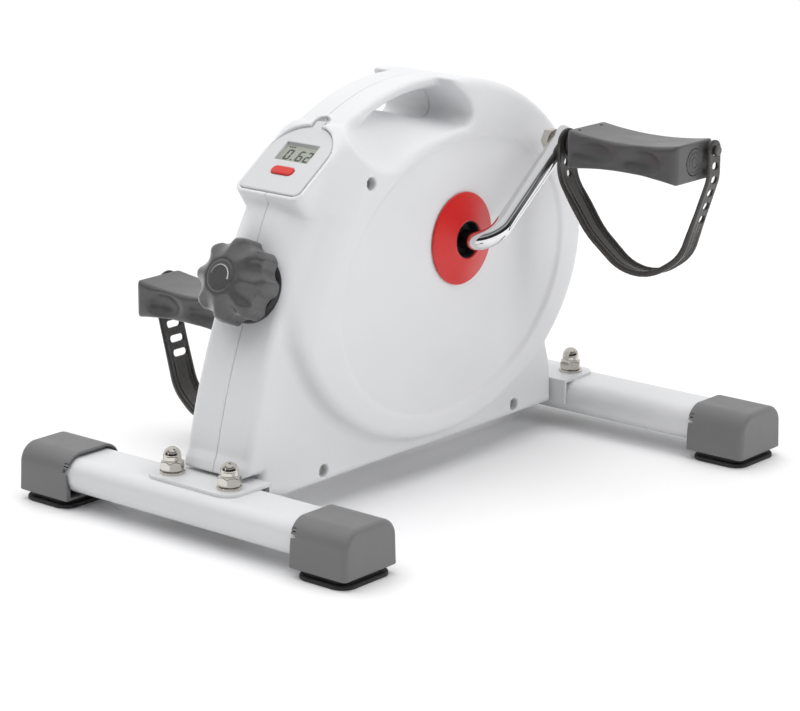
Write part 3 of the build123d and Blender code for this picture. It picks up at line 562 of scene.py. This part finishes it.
def cap_field(x, y, z):
    """Right end cap, its closed end at y = 0."""
    wide = 31.0 - 2.0 * (z - CAP_FLOOR) / (CAP_TOP - CAP_FLOOR)
    section = meet(np.abs(x) - wide, z - CAP_TOP, 15.0)
    body = meet(meet(section, -y, 4.2), y - CAP_LENGTH, 0.8)
    body = meet(body, CAP_FLOOR - z, 0.8)
    tube = rounded_box(x, z - TUBE_Z, *TUBE_HALF, TUBE_CORNER) - TUBE_FIT
    body = cut(body, meet(tube, 3.0 - y, 0.5), 0.5)
    body = cut(body, meet(tube - 1.9, 50.6 - y, 0.5), 0.5)
    for rib in (-20.5, -7.0, 7.0, 20.5):
        web = meet(rounded_box(x - rib, z - 12.6, 5.6, 2.6, 0.6), 8.0 - y, 0.4)
        body = cut(body, web, 0.4)
    return body


def pad_field(x, y, z):
    """Rubber pad under a right end cap: a lip on the floor and a neck up into the cap."""
    plan = rounded_box(x, y - 27.5, 29.5, 26.05, 13.0)
    lip = meet(meet(plan, z - 3.6, 1.6), 0.15 - z, 0.5)
    neck = meet(plan + 4.0, between(z, 0.5, 8.0), 0.5)
    return join(lip, neck, 1.0)


def make_feet():
    """Four end caps and their pads, the left ones mirrored."""
    cap = surface(cap_field, steps((-33, 33, 1.1)), steps((-2, 7, 0.75), (7, 47, 2), (47, 57, 0.75)),
                  steps((6, 49, 1.1)))
    pad = surface(pad_field, steps((-31, 31, 1.1)), steps((-1, 56, 1.1)), steps((-1, 9.5, 0.6)))
    for end in ("front", "rear"):
        for hand, flip in (("right", False), ("left", True)):
            low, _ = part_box(f"{end}_right_end_cap")
            at = (mid(f"{end}_right_end_cap")[0], low.y / MM, 0)
            make_piece(f"{end}_{hand}_cap_moulding", *placed(cap, at, flip_y=flip),
                       MATERIALS["cap_grey"], "base", "cap_grey", [f"{end}_{hand}_end_cap"])
            make_piece(f"{end}_{hand}_rubber_pad", *placed(pad, at, flip_y=flip),
                       MATERIALS["pad_rubber"], "base", "pad_rubber", [f"{end}_{hand}_foot_pad"])


def rounded_rectangle(half_x, half_z, r, parts=14):
    """Outline of a rectangle with round corners, anticlockwise."""
    rows = []
    for n, (sx, sz) in enumerate(((1, 1), (-1, 1), (-1, -1), (1, -1))):
        angle = np.linspace(0, pi / 2, parts + 1) + n * pi / 2
        across, up = sx * (half_x - r) + r * np.cos(angle), sz * (half_z - r) + r * np.sin(angle)
        rows.append(np.stack([across, up], 1))
    return np.concatenate(rows)


def make_tubes():
    """Stabiliser tubes as drawn from rounded oval stock."""
    for end in ("front", "rear"):
        node = f"{end}_stabilizer"
        low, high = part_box(node)
        y0, y1 = low.y / MM, high.y / MM
        x, _, z = mid(node)
        rings, faces = [], []
        for inset, y in ((0, y0), (0, y1), (TUBE_WALL, y1), (TUBE_WALL, y0)):
            section = rounded_rectangle(TUBE_HALF[0] - inset, TUBE_HALF[1] - inset, TUBE_CORNER - inset)
            rings.append(np.stack([section[:, 0] + x, np.full(len(section), y), section[:, 1] + z], 1))
        n = len(rings[0])
        for i in range(len(rings)):
            j = (i + 1) % len(rings)
            for k in range(n):
                m = (k + 1) % n
                faces.append([i * n + k, j * n + k, j * n + m, i * n + m])
        make_piece(f"{end}_tube", np.concatenate(rings), faces, MATERIALS["frame_paint"], "base",
                   "frame_paint", [node], flat_above=40)


# ---------------------------------------------------------------- fasteners
def acorn_field(x, y, z):
    """M10 cap nut standing on z = 0: chamfered hexagon, barrel and dome."""
    r = np.hypot(x, y)
    sector = pi / 3
    spread = (np.arctan2(y, x) + sector / 2) % sector - sector / 2
    hexagon = meet(r * np.cos(spread) - 8.5, between(z, 0.0, 8.4), 0.25)
    chamfer = (r - 9.5 + np.maximum(z - 7.0, 1.2 - z)) * 0.7
    hexagon = meet(hexagon, chamfer, 0.2)
    barrel = meet(r - 7.3, between(z, 6.0, 12.2), 0.3)
    dome = np.sqrt(r ** 2 + (z - 12.1) ** 2) - 7.2
    return join(join(hexagon, barrel, 0.7), dome, 0.3)


def make_fasteners():
    """The four cap nuts and their washers on top of the brackets."""
    across = steps((-10.5, 10.5, 0.42))
    nut = surface(acorn_field, across, across, steps((-1, 20.5, 0.42)))
    thick = 2.0
    washer = lathe(soft_loop([(5.4, 0), (10.2, 0), (10.2, thick), (5.4, thick)], 0.5))
    nuts, washers = [], []
    for x in (-FOOT_X, FOOT_X):
        for y in (-BOLT_Y, BOLT_Y):
            nuts.append(placed(nut, (x, y, BRACKET_TOP + thick)))
            washers.append(placed(washer, (x, y, BRACKET_TOP)))
    make_piece("cap_nuts", *merged(nuts), MATERIALS["nickel"], "base", "nickel", ["acorn_nuts"])
    make_piece("nut_washers", *merged(washers), MATERIALS["nickel"], "base", "nickel", ["washers"], 40)


# ---------------------------------------------------------------- axle covers and cranks
CRANK_R, CRANK_BEND_R = 8.0, 20.0
CRANK_ROOT_Y, CRANK_BEND_Y = 41.0, 78.0
CRANK_RUN = 1.1                     # the tube's length in lengths of the crank's arm


def axle_frame(side):
    """Rows that turn Z into the outward direction on one side."""
    return ((1, 0, 0), (0, 0, -side), (0, side, 0))


def make_covers():
    """Red covers, and black dust rings whose thin walls also line the covers' holes as painted shade."""
    cover = [(38.8, 47.0), (38.8, 48.2), (37.6, 48.9), (16.6, 55.0), (15.6, 54.6), (15.5, 42), (17, 42),
             (17.1, 52.6), (34, 47.0)]
    # The flat ring at the bottom is the real black dust ring. Its thin wall from 44.6 up to 54 lines the cover's
    # hole in black: painted shade where the hole is only in shadow.
    ring = [(9.2, 42.0), (15.5, 42.0), (15.45, 54.0), (14.8, 54.0), (14.6, 44.6), (9.2, 44.6)]
    rings = []
    at = (AXLE_X, 0, AXLE_Z)
    for name, side in (("right", -1), ("left", 1)):
        mesh = placed(lathe(soft_loop(cover, 0.7), 128), at, axle_frame(side))
        make_piece(f"{name}_cover_disc", *mesh, MATERIALS["cover_red"], "base", "cover_red",
                   [f"{name}_axle_cover"], 50)
        rings.append(placed(lathe(soft_loop(ring, 0.4), 64), at, axle_frame(side)))
    # black_plastic here is the dust rings' own colour, and painted shade on the hole liners.
    make_piece("axle_dust_rings_and_shade_liners", *merged(rings), MATERIALS["black_plastic"], "base", "black_plastic",
               ["dust_rings"], 50)


RUN_IN, RUN_OUT = 9, 29             # points of a bent path before and after its arc


def bent_path(a, corner, b, r, parts=24):
    """Straight, arc of radius r, straight."""
    a, corner, b = (np.array(p, float) for p in (a, corner, b))
    u, v = a - corner, b - corner
    u_way, v_way = u / np.linalg.norm(u), v / np.linalg.norm(v)
    half = np.arccos(u_way @ v_way) / 2
    reach = r / np.tan(half)
    centre = corner + (u_way + v_way) / np.linalg.norm(u_way + v_way) * r / sin(half)
    start, end = corner + u_way * reach - centre, corner + v_way * reach - centre
    whole = np.arccos(start @ end / r ** 2)
    arc = [centre + (start * sin((1 - t) * whole) + end * sin(t * whole)) / sin(whole)
           for t in np.linspace(0, 1, parts + 1)]
    run_in = [a + (arc[0] - a) * t for t in np.linspace(0, 1, RUN_IN + 1)[:-1]]
    run_out = [arc[-1] + (b - arc[-1]) * t for t in np.linspace(0, 1, RUN_OUT + 1)[1:]]
    return run_in + arc + run_out


def make_cranks():
    """Bent tubes, each with a small stud under its arm."""
    for name, side in (("right", -1), ("left", 1)):
        pedal = joint_at(f"{name}_pedal_spin")
        root = np.array((AXLE_X, side * CRANK_ROOT_Y, AXLE_Z))
        bend = np.array((AXLE_X, side * CRANK_BEND_Y, AXLE_Z))
        arm = np.array((pedal[0] - AXLE_X, 0, pedal[2] - AXLE_Z))
        path = bent_path(root, bend, bend + CRANK_RUN * arm, CRANK_BEND_R)
        tube = swept_tube(path, CRANK_R)
        way = arm / np.linalg.norm(arm)
        under = np.array((way[2], 0, -way[0]))
        rim = [(0.9, -2.0), (3.4, -2.0), (3.4, 1.6), (2.6, 2.2), (1.4, 2.2), (0.9, 0.8)]
        stud = placed(lathe(soft_loop(rim, 0.3), 32), bend + 0.64 * arm + (CRANK_R - 0.4) * under,
                      (way, np.cross(under, way), under))
        make_piece(f"{name}_crank_tube", *merged([tube, stud]), MATERIALS["crank_chrome"], "crankset",
                   "crank_chrome", [f"{name}_crank"], 50)


# ---------------------------------------------------------------- pedals and straps
# Both are drawn on the right, about the pedal's spindle.
PEDAL_Y0, PEDAL_Y1 = 103.0, 212.5   # inner and outer end of the tread
PEDAL_HALF_X = 28.0
PEDAL_WAIST, PEDAL_RISE = 12.0, 4.5     # half height at the middle, and how much more at the ends
HUB_Y, HUB_R = 91.0, 11.0           # the hub reaches further in than the tread
POST_X = 21.0                       # post that holds the strap's outer end


def pedal_field(x, y, z):
    """Right pedal about its spindle; y runs from -PEDAL_Y1 to -HUB_Y."""
    ay = -y
    middle = (PEDAL_Y0 + PEDAL_Y1) / 2
    reach = (PEDAL_Y1 - PEDAL_Y0) / 2
    tall = PEDAL_WAIST + PEDAL_RISE * ((ay - middle) / reach) ** 2
    body = meet(np.abs(x) - PEDAL_HALF_X, np.abs(z) - tall, 5.0)
    body = meet(body, rounded_box(x, ay - middle, PEDAL_HALF_X + 0.2, reach, 6.5), 2.2)
    hub = np.hypot(x, z)
    body = join(body, meet(hub - HUB_R, between(ay, HUB_Y, 120.0), 0.8), 1.5)
    for at, wide in ((PEDAL_Y0 + 27, 27.0), (PEDAL_Y1 - 33, 23.0)):
        ball = np.sqrt(((x + 36) / 15.5) ** 2 + ((ay - at) / wide) ** 2 + ((z + 1) / 13.5) ** 2)
        body = cut(body, (ball - 1) * 12.0, 3.0)
    body = cut(body, meet(hub - HUB_R - 0.1, PEDAL_Y1 - 2.0 - ay, 0.4), 0.6)
    body = cut(body, meet(hub - 5.2, ay - PEDAL_Y0 - 6, 0.4), 0.5)
    for pin in (-16.0, 14.0):
        body = cut(body, meet(np.hypot(x - pin, ay - PEDAL_Y0 - 6) - 1.3, 6.0 - z, 0.3), 0.3)
    post = meet(np.hypot(x - POST_X, z - 6) - 2.5, between(ay, PEDAL_Y1 - 4, PEDAL_Y1 + 8.6), 0.5)
    hook = meet(np.hypot(x - POST_X, z - 7.4) - 4.1, between(ay, PEDAL_Y1 + 6.9, PEDAL_Y1 + 9.6), 0.8)
    return join(body, join(post, hook, 0.5), 0.8)


def plug_profile():
    """End plug with rings moulded in its face."""
    face = [(0.3, -3), (10.8, -3), (10.8, -0.2), (10.4, 0.2), (9.0, 0.2), (8.6, -0.4), (7.6, -0.4),
            (7.2, 0.2), (5.2, 0.2), (4.8, -0.4), (3.8, -0.4), (3.4, 0.2), (0.3, 0.2)]
    return soft_loop(face, 0.25, 2)


STRAP_LINE = ((-88.8, 13), (-88.8, -28), (-115, -72), (-156, -112.5), (-196, -84), (-217.5, -16),
              (-217.5, 16))             # corners of the loop as (y, z)
STRAP_BENDS = (40, 80, 36, 36, 30)      # radius at each corner between


def rounded_line(points, radii, parts=12):
    """A line of straight runs joined by arcs."""
    points = np.array([(*p, 0.0) for p in points], float)
    rows = [points[:1]]
    for a, corner, b, r in zip(points[:-2], points[1:-1], points[2:], radii):
        rows.append(np.array(bent_path(a, corner, b, r, parts))[RUN_IN:RUN_IN + parts + 1])
    return np.concatenate(rows + [points[-1:]])[:, :2]


STRAP_MIDLINE = chart(rounded_line(STRAP_LINE, STRAP_BENDS), closed=False, margin=8.0, pitch=0.5)


def strap_field(x, y, z, widths, shifts, slots):
    """Moulded foot strap: a band that hangs in a loop, with rails along its lower part.

    widths and shifts are at the inner end, the bottom and the outer end of the loop; slots is
    (length, height, heights above the spindle) of the adjusting holes.
    """
    spots = (-222.5, -150.0, -86.0)
    wide = np.interp(y, spots, widths[::-1])
    shift = np.interp(y, spots, shifts[::-1])
    off = STRAP_MIDLINE(y, z)
    top = np.where(y < -150, 16.0, 13.0)
    across = np.hypot(x - shift, np.maximum(z - top + wide / 2, 0))
    low = smooth(-30, -52, z) * smooth(-212, -196, y)
    band = meet(off - 1.3 + 0.35 * low, across - wide / 2, 0.6)
    rail = meet(off - 1.3 - 1.1 * low, np.abs(across - wide / 2 + 1.9) - 1.6, 0.7)
    band = join(band, rail, 0.5)
    rib = meet(off - 1.3 - 0.5 * low, np.abs(across - wide / 2 + 6.4) - 0.6, 0.5)
    band = join(band, rib, 0.5)
    eye = meet(np.hypot(x, z) - 6.5, -y - 100.0, 0.4)
    band = cut(band, eye, 0.5)
    long, tall, zs = slots
    for at in zs:
        slot = rounded_box(x - shifts[2], z - at, long / 2, tall / 2, tall / 2 - 0.1)
        band = cut(band, meet(slot, y + 190.0, 0.4), 0.6)
    for across_x, at in ((-8.0, -15.0), (-4.5, -25.0)):
        dot = meet(np.hypot(x - across_x, z - at) - 2.7, -y - 115.0, 0.4)
        band = cut(band, dot, 0.6)
    return band


def make_pedals():
    """Pedals, end plugs and straps; the left strap is the wider kind."""
    body = surface(pedal_field, steps((-30, 30, 1.0)),
                   steps((-223.5, -208, 0.7), (-208, -112, 1.6), (-112, -89, 0.8)),
                   steps((-18.5, 18.5, 1.0)))
    plug = placed(lathe(plug_profile(), 64), (0, -PEDAL_Y1, 0), axle_frame(-1))
    kinds = {
        "right": ((25, 21, 16), (-5.5, 9, POST_X), (7.5, 6, (6, -5.5, -17, -28.5, -40, -51.5))),
        "left": ((26, 28, 28), (-5, 10, 18), (16, 6, (6, -6, -18, -30.5, -43, -55)))}
    for name, kind in kinds.items():
        x, _, z = joint_at(f"{name}_pedal_spin")
        flip = name == "left"
        strap = surface(lambda a, b, c: strap_field(a, b, c, *kind), steps((-24, 42, 0.9)),
                        steps((-221, -212, 0.6), (-212, -94, 0.9), (-94, -85, 0.6)),
                        steps((-112, 18, 0.9)))
        rider = f"{name}_pedal_body"
        for piece, mesh, finish, node in (
                ("pedal_moulding", body, "pedal_grey", f"{name}_pedal"),
                ("pedal_end_plug", plug, "plug_grey", f"{name}_pedal_plug"),
                ("foot_strap", strap, "strap_rubber", f"{name}_strap")):
            make_piece(f"{name}_{piece}", *placed(mesh, (x, 0, z), flip_y=flip), MATERIALS[finish],
                       rider, finish, [node], 50 if piece == "pedal_end_plug" else None)


# ---------------------------------------------------------------- tension knob
KNOB_R, KNOB_LOBES = 34.0, 8
KNOB_BACK, KNOB_DISC = 7.0, 41.0    # heights along its axis


def knob_field(x, y, z):
    """Knob about its own axis: a fluted grip that falls away round a disc with a groove."""
    r = np.hypot(x, y)
    body = meet(r - KNOB_R, between(z, KNOB_BACK, KNOB_DISC), 1.5)
    body = meet(body, ((z - KNOB_DISC) + (r - 13.5) * 0.40) * 0.92, 2.0)
    body = meet(body, ((z - 30.0) + (r - 32.5) * 1.8) * 0.48, 3.0)
    sector = 2 * pi / KNOB_LOBES
    spread = np.arctan2(y, x) % sector - sector / 2
    fx, fy = r * np.cos(spread), r * np.sin(spread)
    ahead = np.maximum(z - 25.0, 0)
    flute = 38.0 - 1.2 * ahead ** 2 / (ahead + 6.0)
    body = cut(body, (np.hypot((fx - flute) / 8.4, fy / 9.6) - 1) * 7.5, 2.2)
    groove = meet(np.abs(r - 13.6) - 0.8, KNOB_DISC - 1.1 - z, 0.3)
    body = cut(body, groove, 0.4)
    back = meet(np.abs(r - 17.5) - 8.5, z - 23.0, 0.8)
    return cut(body, back, 0.6)


def make_knob():
    """Knob, the growing row of dots on its disc, and the collar behind it."""
    grid = steps((-35.5, 35.5, 0.75))
    knob = surface(knob_field, grid, grid, steps((5.5, 36, 0.8), (36, 42.5, 0.6)))
    make_piece("knob_moulding", *placed(knob, KNOB_AT, KNOB_AXES), MATERIALS["knob_grey"], "knob_body",
               "knob_grey", ["tension_knob"])
    ticks = []
    for n in range(22):
        turn = radians(82 - n * 8.5)
        size = 0.35 + 0.018 * n
        mark = lathe(soft_loop([(0.05, 0), (size, 0), (size, 0.12), (0.05, 0.12)], 0.04, 1), 12)
        ticks.append(placed(mark, (8.8 * cos(turn), 8.8 * sin(turn), KNOB_DISC - 0.02)))
    make_piece("knob_arc_marks", *placed(merged(ticks), KNOB_AT, KNOB_AXES), MATERIALS["panel_white"],
               "knob_body", "panel_white")
    collar = lathe(soft_loop([(4.3, -3.0), (30.0, -3.0), (30.0, 3.6), (28.6, 5.9), (4.3, 5.9)], 0.8))
    make_piece("tension_collar", *placed(collar, KNOB_AT, KNOB_AXES), MATERIALS["black_plastic"],
               "base", "black_plastic", ["tension_housing"], 45)


# ---------------------------------------------------------------- meter
PANEL_AXES = (tuple(PANEL_U), tuple(PANEL_V), tuple(PANEL_W))
CASE_HALF = 31.0
WINDOW = (43.6, 10.0, 17.0)         # middle along the slope, half length, half width
BUTTON = (22.5, 4.5, 11.5)          # the same


def case_field(u, v, w):
    """Meter case with its latch tab, and pockets for the window and the button."""
    face = meet(arch(u, v, CASE_HALF, 0.0, 5.0), w - 1.0, 1.0)
    face = meet(face, -9.5 - w, 0.5)
    tab = meet(meet(np.abs(v) - 4.6, u - 80.0, 1.2), between(w, -1.6, 1.0), 0.6)
    tab = meet(tab, 60.0 - u, 0.5)
    face = join(face, tab, 0.6)
    window = meet(rounded_box(u - WINDOW[0], v, WINDOW[1], WINDOW[2], 0.8), -2.0 - w, 0.3)
    button = meet(rounded_box(u - BUTTON[0], v, BUTTON[1], BUTTON[2], BUTTON[1] - 0.05), -4.7 - w, 0.3)
    return cut(cut(face, window, 0.5), button, 0.4)


def button_field(u, v, w):
    """Pill-shaped button, a little domed, with play all round."""
    pill = rounded_box(u - BUTTON[0], v, BUTTON[1] - 0.35, BUTTON[2] - 0.35, BUTTON[1] - 0.4)
    return meet(meet(pill, w - 2.4 + 0.004 * v ** 2, 1.0), -2.9 - w, 0.3)


SEGMENTS = {"0": "abcdef", "6": "acdefg", "2": "abdeg"}


def digit_quads(digit, across, up, tall):
    """Seven-segment digit as flat bars, (across, up) from its lower left corner."""
    wide, t, slant = tall * 0.54, tall * 0.15, 0.08
    h = tall / 2
    bars = {
        "a": (t * 0.6, tall - t, wide - t * 0.6, tall),
        "g": (t * 0.6, h - t / 2, wide - t * 0.6, h + t / 2),
        "d": (t * 0.6, 0, wide - t * 0.6, t),
        "f": (0, h + t * 0.2, t, tall - t * 0.4),
        "e": (0, t * 0.4, t, h - t * 0.2),
        "b": (wide - t, h + t * 0.2, wide, tall - t * 0.4),
        "c": (wide - t, t * 0.4, wide, h - t * 0.2)}
    quads = []
    for key in SEGMENTS[digit]:
        x0, y0, x1, y1 = bars[key]
        corners = ((x0, y0), (x1, y0), (x1, y1), (x0, y1))
        quads.append([(across + x + slant * y, up + y) for x, y in corners])
    return quads


def make_digits():
    """Reading on the display, as thin raised bars."""
    quads = []
    for digit, across in (("0", -13.0), ("6", -0.6), ("2", 7.4)):
        quads += digit_quads(digit, across, -7.0, 11.5)
    quads.append([(-4.8, -7.0), (-3.2, -7.0), (-3.2, -5.4), (-4.8, -5.4)])
    for left in (-14.5, -11.9, -9.3):
        quads.append([(left, 6.2), (left + 1.8, 6.2), (left + 1.9, 7.6), (left + 0.1, 7.6)])
    points, faces = [], []
    for quad in quads:
        a = len(points)
        for w in (-1.86, -1.72):
            points += [(WINDOW[0] + up, -across, w) for across, up in quad]
        faces += [[a, a + 1, a + 2, a + 3], [a + 7, a + 6, a + 5, a + 4]]
        for k in range(4):
            m = (k + 1) % 4
            faces.append([a + 4 + k, a + 4 + m, a + m, a + k])
    make_piece("display_digits", *placed((np.array(points), faces), PANEL_FOOT, PANEL_AXES),
               MATERIALS["black_plastic"], "base", "black_plastic", flat_above=30)


def make_meter():
    """Case, button and reading; the lens, the display and the back stay as in the CAD."""
    case = surface(case_field, steps((-1.5, 82, 0.6)), steps((-32.5, 32.5, 0.6)),
                   steps((-10.8, 2.2, 0.5)))
    make_piece("meter_face", *placed(case, PANEL_FOOT, PANEL_AXES), MATERIALS["panel_white"], "base",
               "panel_white", ["meter_case"])
    pill = surface(button_field, steps((17, 28, 0.4)), steps((-12.5, 12.5, 0.4)),
                   steps((-4, 3.4, 0.35)))
    make_piece("button_cap", *placed(pill, PANEL_FOOT, PANEL_AXES), MATERIALS["button_red"],
               "button_body", "button_red", ["reset_button"])
    make_digits()


# ---------------------------------------------------------------- floor, light and camera
def make_stage():
    """White floor, in metres."""
    mesh = bpy.data.meshes.new("floor")
    half = 12.0
    corners = [(-half, -half, 0), (half, -half, 0), (half, half, 0), (-half, half, 0)]
    mesh.from_pydata(corners, [], [(0, 1, 2, 3)])
    floor = bpy.data.objects.new("floor", mesh)
    bpy.context.scene.collection.objects.link(floor)
    mesh.materials.append(new_material("floor_white", (0.93, 0.93, 0.935), 0.5, tint=0.002, bump=0.0))


def add_light(name, size, power, place, target):
    """A rectangular lamp at a place, facing a target."""
    light = bpy.data.lights.new(name, "AREA")
    light.shape = "RECTANGLE"
    light.size, light.size_y = size
    light.energy = power
    lamp = bpy.data.objects.new(name, light)
    lamp.location = place
    lamp.rotation_euler = (Vector(target) - Vector(place)).to_track_quat("-Z", "Y").to_euler()
    bpy.context.scene.collection.objects.link(lamp)
    return lamp


def make_world():
    """White studio with dark walls in front, low down, so that bright metal shows dark streaks."""
    world = bpy.data.worlds.new("studio")
    bpy.context.scene.world = world
    world.use_nodes = True
    nodes, links = world.node_tree.nodes, world.node_tree.links
    place = nodes.new("ShaderNodeTexCoord")
    axes = nodes.new("ShaderNodeSeparateXYZ")
    links.new(place.outputs["Generated"], axes.inputs["Vector"])
    height = nodes.new("ShaderNodeValToRGB")
    height.color_ramp.elements[0].color = (0.03, 0.03, 0.035, 1)
    height.color_ramp.elements[1].color = (1.0, 1.0, 1.0, 1)
    for at, value in ((0.42, 0.04), (0.50, 0.50), (0.60, 0.60), (0.66, 0.15), (0.76, 0.25),
                      (0.84, 0.9)):
        stop = height.color_ramp.elements.new(at)
        stop.color = (value, value, value * 1.02, 1)
    links.new(axes.outputs["Z"], height.inputs["Fac"])
    toward = nodes.new("ShaderNodeVectorMath")
    toward.operation = "DOT_PRODUCT"
    toward.inputs[1].default_value = (0.80, 0.60, 0)
    links.new(place.outputs["Generated"], toward.inputs[0])
    behind = nodes.new("ShaderNodeMapRange")
    behind.inputs["From Min"].default_value = -0.15
    behind.inputs["From Max"].default_value = 0.35
    links.new(toward.outputs["Value"], behind.inputs["Value"])
    walls = nodes.new("ShaderNodeMix")
    walls.data_type = "RGBA"
    walls.inputs["B"].default_value = (1, 1, 1, 1)
    links.new(behind.outputs["Result"], walls.inputs["Factor"])
    links.new(height.outputs["Color"], walls.inputs["A"])
    links.new(walls.outputs["Result"], nodes["Background"].inputs["Color"])
    nodes["Background"].inputs["Strength"].default_value = 0.80


def make_lights():
    """Studio walls, a soft overhead light, a key lamp on the right and a strip in front."""
    make_world()
    sky = bpy.data.objects.new("overhead", bpy.data.lights.new("overhead", "SUN"))
    sky.data.energy = 1.9
    sky.data.angle = radians(75)
    sky.visible_glossy = False
    sky.rotation_euler = (radians(-8), radians(-10), 0)
    bpy.context.scene.collection.objects.link(sky)
    add_light("key", (0.9, 1.6), 17, (0.3, -2.3, 1.3), (0, 0, 0.15)).visible_glossy = False
    add_light("front_strip", (0.12, 1.2), 1.2, (-2.2, 0.5, 0.9), (0, 0, 0.15))


def make_camera():
    """The camera fitted to the photograph, in metres."""
    camera = bpy.data.objects.new("camera", bpy.data.cameras.new("camera"))
    camera.data.lens = 129.41
    camera.data.sensor_width = 36.0
    ahead, right, up = (0.7433, 0.6138, -0.2661), (0.6381, -0.7700, 0.0061), (0.2012, 0.1743, 0.9640)
    camera.matrix_world = Matrix((
        (right[0], up[0], -ahead[0], -1.7733), (right[1], up[1], -ahead[1], -1.4819),
        (right[2], up[2], -ahead[2], 0.7371), (0, 0, 0, 1)))
    bpy.context.scene.collection.objects.link(camera)
    bpy.context.scene.camera = camera


dress_frame()
make_housing()
make_feet()
make_tubes()
make_fasteners()
make_covers()
make_cranks()
make_pedals()
make_knob()
make_meter()
make_stage()
make_lights()
make_camera()
bpy.context.scene.view_settings.view_transform = "Standard"
